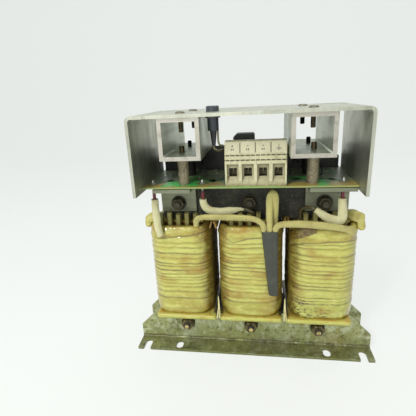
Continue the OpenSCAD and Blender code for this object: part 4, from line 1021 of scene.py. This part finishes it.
def add_varnish_beds():
    """Varnish that has pooled round the foot of each coil, out to its flange's edge."""
    parts = []
    inner = [p for p, _ in outline(DUCT_HALF_W, DUCT_HALF_D, DUCT_CORNER_R, 96)]
    for side, x_mid in zip(("left", "mid", "right"), LIMBS):
        (x0, x1), (y0, y1) = span(f"former_{side}", 0), span(f"former_{side}", 1)
        middle = (x0 + x1) / 2
        rim = outline((x1 - x0) / 2, (y1 - y0) / 2, 3.0, 96)
        rings = []
        for out, z in ((0.12, WINDING_Z0 - 2.4), (0.15, WINDING_Z0), (0.1, BED_TOP - 0.7), (-0.7, BED_TOP)):
            rings.append([place(middle + p.x + n.x * out, p.y + n.y * out,
                                z + (0.25 * drift(p.x, p.y, z, 9, x_mid) if z > WINDING_Z0 else 0))
                          for p, n in rim])
        rings.append([place(x_mid + p.x, p.y, BED_TOP + 0.2) for p in inner])
        rings.append([place(x_mid + p.x, p.y, WINDING_Z0) for p in inner])
        parts.append(loft(rings, closed=True))
    join_pieces("varnish_beds", parts, "former_board")


def add_gap_folds():
    """Brown ends of tape, crumpled in the top of the gaps between the coils."""
    parts = []
    for gap in (-40.0, 40.0):
        for side in (-1, 1):
            rings = []
            for i in range(9):
                y = -40.5 + 3.4 * i
                ring = []
                for k in range(10):
                    z = 163.4 + 9.0 * k / 9 * (1 - 0.25 * abs(i - 3) / 5)
                    x = gap + side * (3.0 - 2.5 * k / 9 + 0.9 * drift(y, z, gap, 5, side))
                    ring.append((x, y + 0.8 * drift(z, y, gap, 4, side + 4), z))
                back = [(x + side * 1.6, y, z) for x, y, z in reversed(ring)]
                rings.append([place(*q) for q in ring + back])
            parts.append(loft(rings))
    join_pieces("gap_folds", parts, "fold_tape")


def add_knots():
    """The taped lumps beside the outer coils: the CAD forms on a fine grid, sunk into
    the folds of crumpled tape."""
    mesh = nodes["tape_knots"].data.copy()
    shape = bpy.data.objects.new("lump_forms", mesh)
    scene.collection.objects.link(shape)
    grid = shape.modifiers.new("grid", "REMESH")
    grid.mode = "VOXEL"
    grid.voxel_size = 0.7 * MM
    soften = shape.modifiers.new("soften", "SMOOTH")
    soften.iterations = 5
    made = bpy.data.meshes.new_from_object(shape.evaluated_get(bpy.context.evaluated_depsgraph_get()))
    verts = []
    for vertex in made.vertices:
        p = vertex.co / MM
        fold = abs(noise.noise(Vector((p.x * 0.05, p.y * 0.19, p.z * 0.11))))
        crease = abs(noise.noise(Vector((p.x * 0.16 + 9, p.y * 0.3, p.z * 0.16))))
        sunk = 2.6 * max(0.0, 0.35 - fold) + 0.8 * max(0.0, 0.3 - crease)
        verts.append(vertex.co - vertex.normal * sunk * MM)
    faces = [tuple(face.vertices) for face in made.polygons]
    bpy.data.objects.remove(shape)
    bpy.data.meshes.remove(made)
    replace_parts(add_piece("taped_lumps", verts, faces, "knot_tape"), "tape_knots")


def add_paper_flaps():
    """Pale insulating paper between the coils: two legs that meet in a point."""
    parts = []
    for left, right, tip in ((-40.0, -35.3, -36.6), (37.8, 41.7, 38.9)):
        shape = [(left, 51), (left + 1.5, 51), (tip + 0.3, 65), (right - 1.3, 51), (right, 51),
                 (tip + 1.1, 69), (tip + 0.3, 82), (tip - 0.5, 80), (tip - 1.0, 66)]
        front = [place(x, -46.2 + 0.3 * math.sin(z * 0.5), z) for x, z in shape]
        parts.append(loft([front, [p + Vector((0, 0.0004, 0)) for p in front]]))
    join_pieces("paper_flaps", parts, "paper", smooth=False)


# Leads

SLEEVE_TOP = CORE_TOP - 10
ON_JOINT = WINDING_Z1 - 1.4
JOINT_X, JOINT_Y = (15.3, 21.5, 27.7), COIL_FRONT - 4.5
LEAD_TOPS = ((-102.5, -42.0), (-48.8, -42.0), (94.0, -42.0))
SLEEVE_D, STAR_D = 7.6, 6.0


def laid(x, points):
    """Route points measured from the middle, front and top of the coil at x."""
    return [(x + dx, COIL_FRONT + dy, WINDING_Z1 + dz) for dx, dy, dz in points]


def dropped(top):
    """The straight start of a sleeve under its solder joint."""
    return [(*top, SLEEVE_TOP), (*top, SLEEVE_TOP - 4)]


ROUTES = {
    "lead_left": dropped(LEAD_TOPS[0]) + laid(LIMBS[0], [
        (-22.2, 1, 21.5), (-21.4, -0.8, 13.5), (-20.2, -3.4, 5), (-19, -4.6, -1), (-17.5, -4.6, -7.5)]),
    "lead_mid": dropped(LEAD_TOPS[1]) + laid(LIMBS[1], [
        (-46.5, 2.4, 23), (-41.5, 3.7, 18.8), (-33, 5.2, 16.8), (-22, 5.8, 17.4), (-12, 7.4, 18.8),
        (-6, 9.6, 17.9)]),
    "lead_right": dropped(LEAD_TOPS[2]) + laid(LIMBS[2], [
        (14.8, 2.2, 21.5), (15.2, 2.6, 13), (13.6, 2.8, 8.2), (8, 3, 8.2), (0, 3.6, 11.2),
        (-7, 4.8, 15.8), (-11, 6.4, 18.6)]),
    "star_lead_left": laid(LIMBS[0], [
        (21.5, 4.6, 0.1), (21.5, 4.6, 3.1), (22.4, 2.6, 7.1), (25.4, 0.4, 10.9), (33, -1.4, 12.7),
        (50, -2.4, 12.9), (68, -2.6, 12.7), (84, -3, 11.5)]) + [
        (JOINT_X[0] - 2.9, JOINT_Y + 0.5, ON_JOINT + 9), (JOINT_X[0], JOINT_Y, ON_JOINT + 4),
        (JOINT_X[0], JOINT_Y, ON_JOINT)],
    "star_lead_mid": [(JOINT_X[1], JOINT_Y, ON_JOINT), (JOINT_X[1], JOINT_Y, ON_JOINT + 4)]
    + laid(LIMBS[1], [
        (21.4, -3.2, 10.5), (21.2, -0.2, 24.5), (21.8, 1.6, 34), (24.4, 2.2, 37.9), (27.2, 2.2, 34),
        (27.6, 2.6, 23.5), (27.2, 3.8, 10.5), (27, 4.6, 3.5), (27, 4.6, 0.1)]),
    "star_lead_right": [(JOINT_X[2], JOINT_Y, ON_JOINT), (JOINT_X[2], JOINT_Y, ON_JOINT + 2.6)]
    + laid(LIMBS[2], [
        (-49.4, -4.6, 4.7), (-43.4, -4.4, 6.1), (-28, -4.2, 6.3), (-5, -4.2, 4.7), (12, -4.4, 2.5),
        (21, -4.6, 0), (25, -4, -4.5)]),
}


def add_sleeve(lead, diameter, material, flat, lump, seed, hollow=0.0, taper=None):
    """The sleeve of a lead in place of its CAD form, a little lumpy, with a hollow mouth if
    asked. Taper is (length, share): over that length its far end shrinks to that share."""
    sides = 20
    stations = frames_along(smooth_route(ROUTES[lead], 6))
    length = stations[-1][3]
    rings, uvs = [], []

    def ring(point, side, up, distance, radius):
        loop = []
        for k in range(sides):
            a = 2 * math.pi * k / sides
            wide = 1 + flat * math.sin(math.pi * min(1, distance / length))
            ending = max(0.0, 1 - (length - distance) / taper[0]) if taper else 0.0
            drawn = 1 - ending * (1 - taper[1]) if taper else 1.0
            spot = Vector((distance * 0.12, math.cos(a) * 0.8 + seed, math.sin(a) * 0.8))
            wave = drawn + lump * noise.noise(spot)
            q = point + radius * wave * (math.cos(a) * side * wide + math.sin(a) * up / wide)
            loop.append(place(*q))
            uvs.append((k / sides * math.pi * diameter, distance))
        return loop

    if hollow:
        point, side, up, _ = stations[0]
        ahead = (stations[1][0] - point).normalized()
        rings.append(ring(point + ahead * 3, side, up, -3, diameter / 2 - hollow))
        rings.append(ring(point, side, up, 0, diameter / 2 - hollow))
    for point, side, up, distance in stations:
        rings.append(ring(point, side, up, distance, diameter / 2))
    verts, faces = loft(rings)
    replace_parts(add_piece(f"sleeve_{lead}", verts, faces, material, uvs=uvs), lead)


def add_leads():
    whites = (("lead_left", 0.12, None), ("lead_mid", 0.25, (15, 0.35)), ("lead_right", 0.3, (6, 0.8)))
    for n, (name, flat, taper) in enumerate(whites):
        add_sleeve(name, SLEEVE_D, "white_sleeve", flat, 0.07, n * 7, hollow=0.7, taper=taper)
    stars = (("star_lead_left", 0.5), ("star_lead_mid", 0.2), ("star_lead_right", 0.35))
    for n, (name, flat) in enumerate(stars):
        add_sleeve(name, STAR_D, "cream_sleeve", flat, 0.06, 30 + n * 7)
    add_star_joint()
    add_lead_ends()
    paint("lead_cores", "red_insulation")
    bevel("lead_cores", 0.3)


def add_star_joint():
    """Heat-shrink sleeve drawn tight over the three star leads, pinched at its end."""
    top, bottom, middle_y = ON_JOINT - 0.1, ON_JOINT - 77.1, JOINT_Y
    rings = []
    columns = 40
    levels = [0, 0.01, 0.03, 0.06] + [0.06 + 0.94 * i / 44 for i in range(1, 43)] + [0.985, 1.0]
    for t in levels:
        left = 12.8 + (20.8 - 12.8) * t
        right = 30.2 + (31.1 - 30.2) * t
        depth = 3.5 - 0.8 * t
        middle, half = (left + right) / 2, (right - left) / 2
        lip = 0.4 if t < 0.005 else (0.3 if t > 0.995 else 0.0)
        ring = []
        for k in range(columns):
            a = 2 * math.pi * k / columns
            c, s = math.cos(a), math.sin(a)
            x = half * abs(c) ** 0.75 * (1 if c > 0 else -1)
            ribs = 0.32 * (1 - t * 0.7) * math.cos(3 * math.pi * x / half)
            shrink = 0.22 * noise.noise(Vector((x * 0.2, s * 2, t * 22)))
            y = (depth * abs(s) ** 0.8 + ribs * abs(s) - 0.25 + shrink) * (1 if s > 0 else -1)
            rough = 1 + 0.02 * noise.noise(Vector((c, s, t * 14)))
            ring.append(place(middle + x * (1 - lip / half) * rough, middle_y + y, top - (top - bottom) * t))
        rings.append(ring)
    verts, faces = loft(rings)
    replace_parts(add_piece("shrink_sleeve", verts, faces, "shrink_grey"), "star_joint_sleeve")


def add_lead_ends():
    """Bare wire ends in cones of solder with ragged skirts."""
    parts = []
    for x, y in LEAD_TOPS:
        wire = [(0, 1.2), (10, 1.2), (12.9, 1.15), (13.2, 0.6)]
        parts.append(lathe((x, y, BARE_FROM), (0, 0, 1), wire, 20))
        parts.append(lathe((x, y, BOARD_Z1), (0, 0, 1), [(0, 3.0), (0.25, 2.95), (0.5, 2.3), (0.9, 1.8),
                                                         (1.5, 1.45), (2.4, 1.25), (2.45, 1.0)], 28))
        parts.append(lathe((x, y, BOARD_Z0), (0, 0, -1), [(0, 2.6), (0.3, 2.4), (0.8, 1.7), (1.4, 1.3),
                                                          (1.45, 1.0)], 28))
    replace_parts(join_pieces("soldered_ends", parts, "tinned"), "lead_ends")


# Deck

def add_tube_glints():
    """A painted highlight: a pale strip for the bright line where the floor of each tube meets its outer
    wall.
    """
    parts = []
    corners = ((span("box_tube_left", 0)[0] + TUBE_WALL, 1, -30),
               (span("box_tube_right", 0)[1] - TUBE_WALL, -1, 20))
    for x, inward, back in corners:
        z = TUBE_Z0 + TUBE_WALL
        section = [(x - 0.2 * inward, z - 0.2), (x + 1.3 * inward, z - 0.2), (x - 0.2 * inward, z + 1.1)]
        parts.append(loft([[place(a, y, b) for a, b in section] for y in (TUBE_FRONT + 0.8, back)]))
    join_pieces("tube_corner_glints", parts, "corner_glint", smooth=False)


def add_board_details():
    """Tracks and solder joints on the circuit board."""
    tracks = []

    def track(points, width):
        for (x0, y0), (x1, y1) in zip(points, points[1:]):
            a, b = Vector((x0, y0)), Vector((x1, y1))
            run = (b - a).normalized() * width / 2
            n = Vector((-run.y, run.x))
            corners = [a - run - n, b + run - n, b + run + n, a - run + n]
            tracks.append(loft([[place(c.x, c.y, BOARD_Z1 - 0.02) for c in corners],
                                [place(c.x, c.y, BOARD_Z1 + 0.09) for c in corners]]))

    track([(-102.5, -42), (-86, -30), (-40, -30), (-22, -24)], 7)
    track([(-48.8, -42), (-38, -34), (-24, -28)], 6)
    track([(94, -42), (84, -32), (50, -30), (38, -24)], 7)
    for i, x in enumerate(POLES):
        track([(x, -27), (x, -16), (x + (i - 1.5) * 6, -2), (x + (i - 1.5) * 10, 22)], 5)
    track([(-96, 20), (-60, 20), (-52, 14)], 4)
    track([(70, 22), (88, 14), (92, -10)], 5)
    join_pieces("board_tracks", tracks, "track", smooth=False)

    tail = [(0, 2.0), (0.4, 1.7), (1.4, 0.95), (2.4, 0.8), (2.8, 0.4)]
    joints = [lathe((x, PIN_Y, BOARD_Z0), (0, 0, -1), tail, 18) for x in POLES]
    rng = random.Random(5)
    for _ in range(26):
        x, y = rng.uniform(-98, 98), rng.uniform(-24, 24)
        if min(abs(x - post) for post in STANDOFFS_X) < 8 or -24 < x < 38:
            continue
        joints.append(lathe((x, y, BOARD_Z1), (0, 0, 1), [(0, 1.3), (0.3, 1.1), (0.8, 0.5), (0.9, 0.2)], 12))
    join_pieces("solder_joints", joints, "tinned")


def add_terminal_details():
    """Label fields with plain pole marks, dark slits between them, ribs across the grooves of the terminal
    block and dark strips of painted shade in the grooves behind the ribs."""
    low, high = TERMINAL_TOP - 11.6, TERMINAL_TOP
    near, far = TERMINAL_FRONT + 1.5, TERMINAL_FRONT + 5.0

    def plate(x0, x1, z0, z1, out):
        """A thin plate that lies on the sloping label face."""
        def on_face(x, z, lift):
            return place(x, near + (far - near) * (z - low) / (high - low) - lift, z)
        ring = [(x0, z0), (x1, z0), (x1, z1), (x0, z1)]
        return loft([[on_face(x, z, -0.05) for x, z in ring], [on_face(x, z, out) for x, z in ring]])

    cards = [plate(x - 6.6, x + 6.6, low + 0.5, high - 0.6, 0.3) for x in POLES]
    join_pieces("terminal_labels", cards, "label_plastic", smooth=False)
    edges = [TERMINAL_X + END_WALL + i * POLE_PITCH for i in range(1, POLE_COUNT)]
    marks = [plate(x - 0.35, x + 0.35, low + 0.9, high - 1.2, 0.08) for x in edges]
    for n, x in enumerate(POLES[:3]):
        marks.append(plate(x - 1.0, x + 1.0, low + 7.0, low + 7.6, 0.36))
        if n == 0:
            marks.append(plate(x - 0.3, x + 0.3, low + 6.3, low + 8.3, 0.36))
        marks += [plate(x + u - 0.45, x + u + 0.45, low + 3.2, low + 5.0, 0.36) for u in (-0.9, 0.9)]
    for half, z in ((2.6, 4.6), (1.7, 3.6), (0.8, 2.6)):
        marks.append(plate(POLES[3] - half, POLES[3] + half, low + z, low + z + 0.45, 0.36))
    marks.append(plate(POLES[3] - 0.25, POLES[3] + 0.25, low + 4.6, low + 8.2, 0.36))
    join_pieces("terminal_marks", marks, "black_plastic", smooth=False)

    ribs, groove_shades = [], []
    for z, rib_y, shade_y in ((low - 2.2, TERMINAL_FRONT + 1.2, TERMINAL_FRONT + 1.75),
                             (low - 6.8, TERMINAL_FRONT + 0.4, TERMINAL_FRONT + 0.95)):
        ribs += [block(x - 0.45, x + 0.45, rib_y, rib_y + 2, z, z + 1.2)
                 for x in edges + [x + u for x in POLES for u in (-2.6, 2.6)]]
        # A dark strip of painted shade at the back of each groove.
        groove_shades.append(block(TERMINAL_X + 1.2, TERMINAL_END_X - 1.2, shade_y, shade_y + 0.8, z + 0.05, z + 1.15))
    join_pieces("terminal_groove_shade", groove_shades, "groove_shade", smooth=False)
    join_pieces("terminal_ribs", ribs, "beige_plastic", smooth=False)


def add_fasteners():
    """Threaded bolts, studs and screws in place of the plain ones, with turned heads."""
    bolts = []
    clamps = [(x, BOLT_LOW, FOOT_SHEET) for x in LIMBS]
    clamps += [(x, BOLT_HIGH, sheet) for x, sheet in zip(LIMBS, (ANGLE_SHEET, 0.0, ANGLE_SHEET))]
    for x, z, sheet in clamps:
        back = CORE_FACE + sheet + WASHER
        front = -back - NUT - BOLT_PROUD
        bolts.append(screw_thread((x, front, z), (0, 1, 0), BOLT_D, 11.4, 1.25))
        shank = [(0, 3.7), (0.2, 3.9), (back - front - 11.0, 3.9)]
        bolts.append(lathe((x, front + 11.0, z), (0, 1, 0), shank, 24))
        head = [(0, 5.9), (0.3, 6.4), (0.5, 7.5), (4.3, 7.5), (5.0, 6.9), (5.3, 6.0)]
        bolts.append(lathe((x, back, z), (0, 1, 0), head, 6))
    # The lower bolts' ends, brassy and bright: partly painted highlight.
    tip = [(0, 2.4), (0.25, 3.0), (1.6, 3.5), (2.4, 3.6)]
    tip_y = -(CORE_FACE + FOOT_SHEET + WASHER) - 10.6
    ends = [lathe((x, tip_y, BOLT_LOW), (0, 1, 0), tip, 24) for x in LIMBS]
    join_pieces("bolt_ends", ends, "brass_and_glint_end")
    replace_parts(join_pieces("clamp_bolts", bolts, "dark_steel", smooth=False), "core_bolts")

    studs = []
    for x in STANDOFFS_X:
        for y, d, pitch in ((-44.0, 6.0, 1.0), (-2.0, 5.0, 0.8)):
            studs.append(lathe((x, y, STUD_FROM), (0, 0, 1), [(0, d / 2 - 0.1), (37.0, d / 2 - 0.1)], 20))
            studs.append(screw_thread((x, y, THREAD_FROM), (0, 0, 1), d, 10.2, pitch))
    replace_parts(join_pieces("threaded_studs", studs, "stud_steel"), "standoff_studs")

    shafts, heads = [], []
    lowest = span("tube_screws", 2)[0]
    for x, y in ((-64, -57), (60, -57), (-59, -15), (55, -15)):
        shafts.append(screw_thread((x, y, lowest), (0, 0, 1), 5.0, DECK_TOP - lowest - 2.9, 0.8))
        heads.append(lathe((x, y, DECK_TOP), (0, 0, 1), [
            (-3, 2.4), (0, 2.5), (0.01, 4.7), (0.5, 4.7), (1.1, 4.2), (1.6, 3.4), (1.74, 2.4), (1.75, 1.5),
            (0.9, 1.4), (0.85, 0.3)], 28))
    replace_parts(join_pieces("roof_screws", shafts, "stud_steel"), "tube_screws")
    join_pieces("roof_screw_heads", heads, "screw_steel")


def dress_nodes():
    """Materials and softened edges for the CAD nodes that stay."""
    for node, material, edge in (
            ("core_limbs", "core_steel", 0.3), ("core_yoke", "core_steel", 0.3),
            ("base_angle_front", "zinc_steel", 0.4), ("base_angle_rear", "zinc_steel", 0.4),
            ("upper_angle_front_left", "angle", 0.4), ("upper_angle_front_right", "angle", 0.4),
            ("upper_angle_rear_left", "angle", 0.4), ("upper_angle_rear_right", "angle", 0.4),
            ("core_nuts", "brassy_steel", 0.25), ("core_washers", "dark_steel", 0.25),
            ("circuit_board", "board_green", 0.15), ("fibre_washers", "fibre", 0.2),
            ("standoffs", "standoff_steel", 0.4), ("top_bracket", "bracket", 0.5),
            ("box_tube_left", "tube", 0.35), ("box_tube_right", "tube", 0.35),
            ("fuse_holder_body", "fuse_black", 0.3), ("fuse_cap", "fuse_black", 0.4),
            ("fuse_nut", "black_plastic", 0.3), ("fuse_boot", "black_rubber", 0.4),
            ("fuse_link", "fuse_glass", 0.1), ("terminal_housing", "beige_plastic", 0.35),
            ("terminal_cages", "cage_steel", 0.15), ("terminal_screws", "cage_steel", 0.15),
            ("terminal_pins", "tinned", 0.15), ("rectifier_block", "black_plastic", 0.6),
            ("tap_strip_body", "strip_black", 0.3), ("tap_strip_plates", "brassy_steel", 0.15),
            ("tap_strip_screws", "tinned", 0.2), ("fuse_leads", "wire_olive", 0),
            ("board_wires", "black_rubber", 0), ("tap_leads", "black_rubber", 0)):
        paint(node, material)
        if edge:
            bevel(node, edge)
    for node in ("fuse_leads", "board_wires", "tap_leads"):
        for face in nodes[node].data.polygons:
            face.use_smooth = True


add_camera()
make_materials()
add_stage()
dress_nodes()
add_coils()
add_varnish_beds()
add_gap_folds()
add_knots()
add_paper_flaps()
add_leads()
add_tube_glints()
add_board_details()
add_terminal_details()
add_fasteners()

scene.view_settings.view_transform = "Standard"
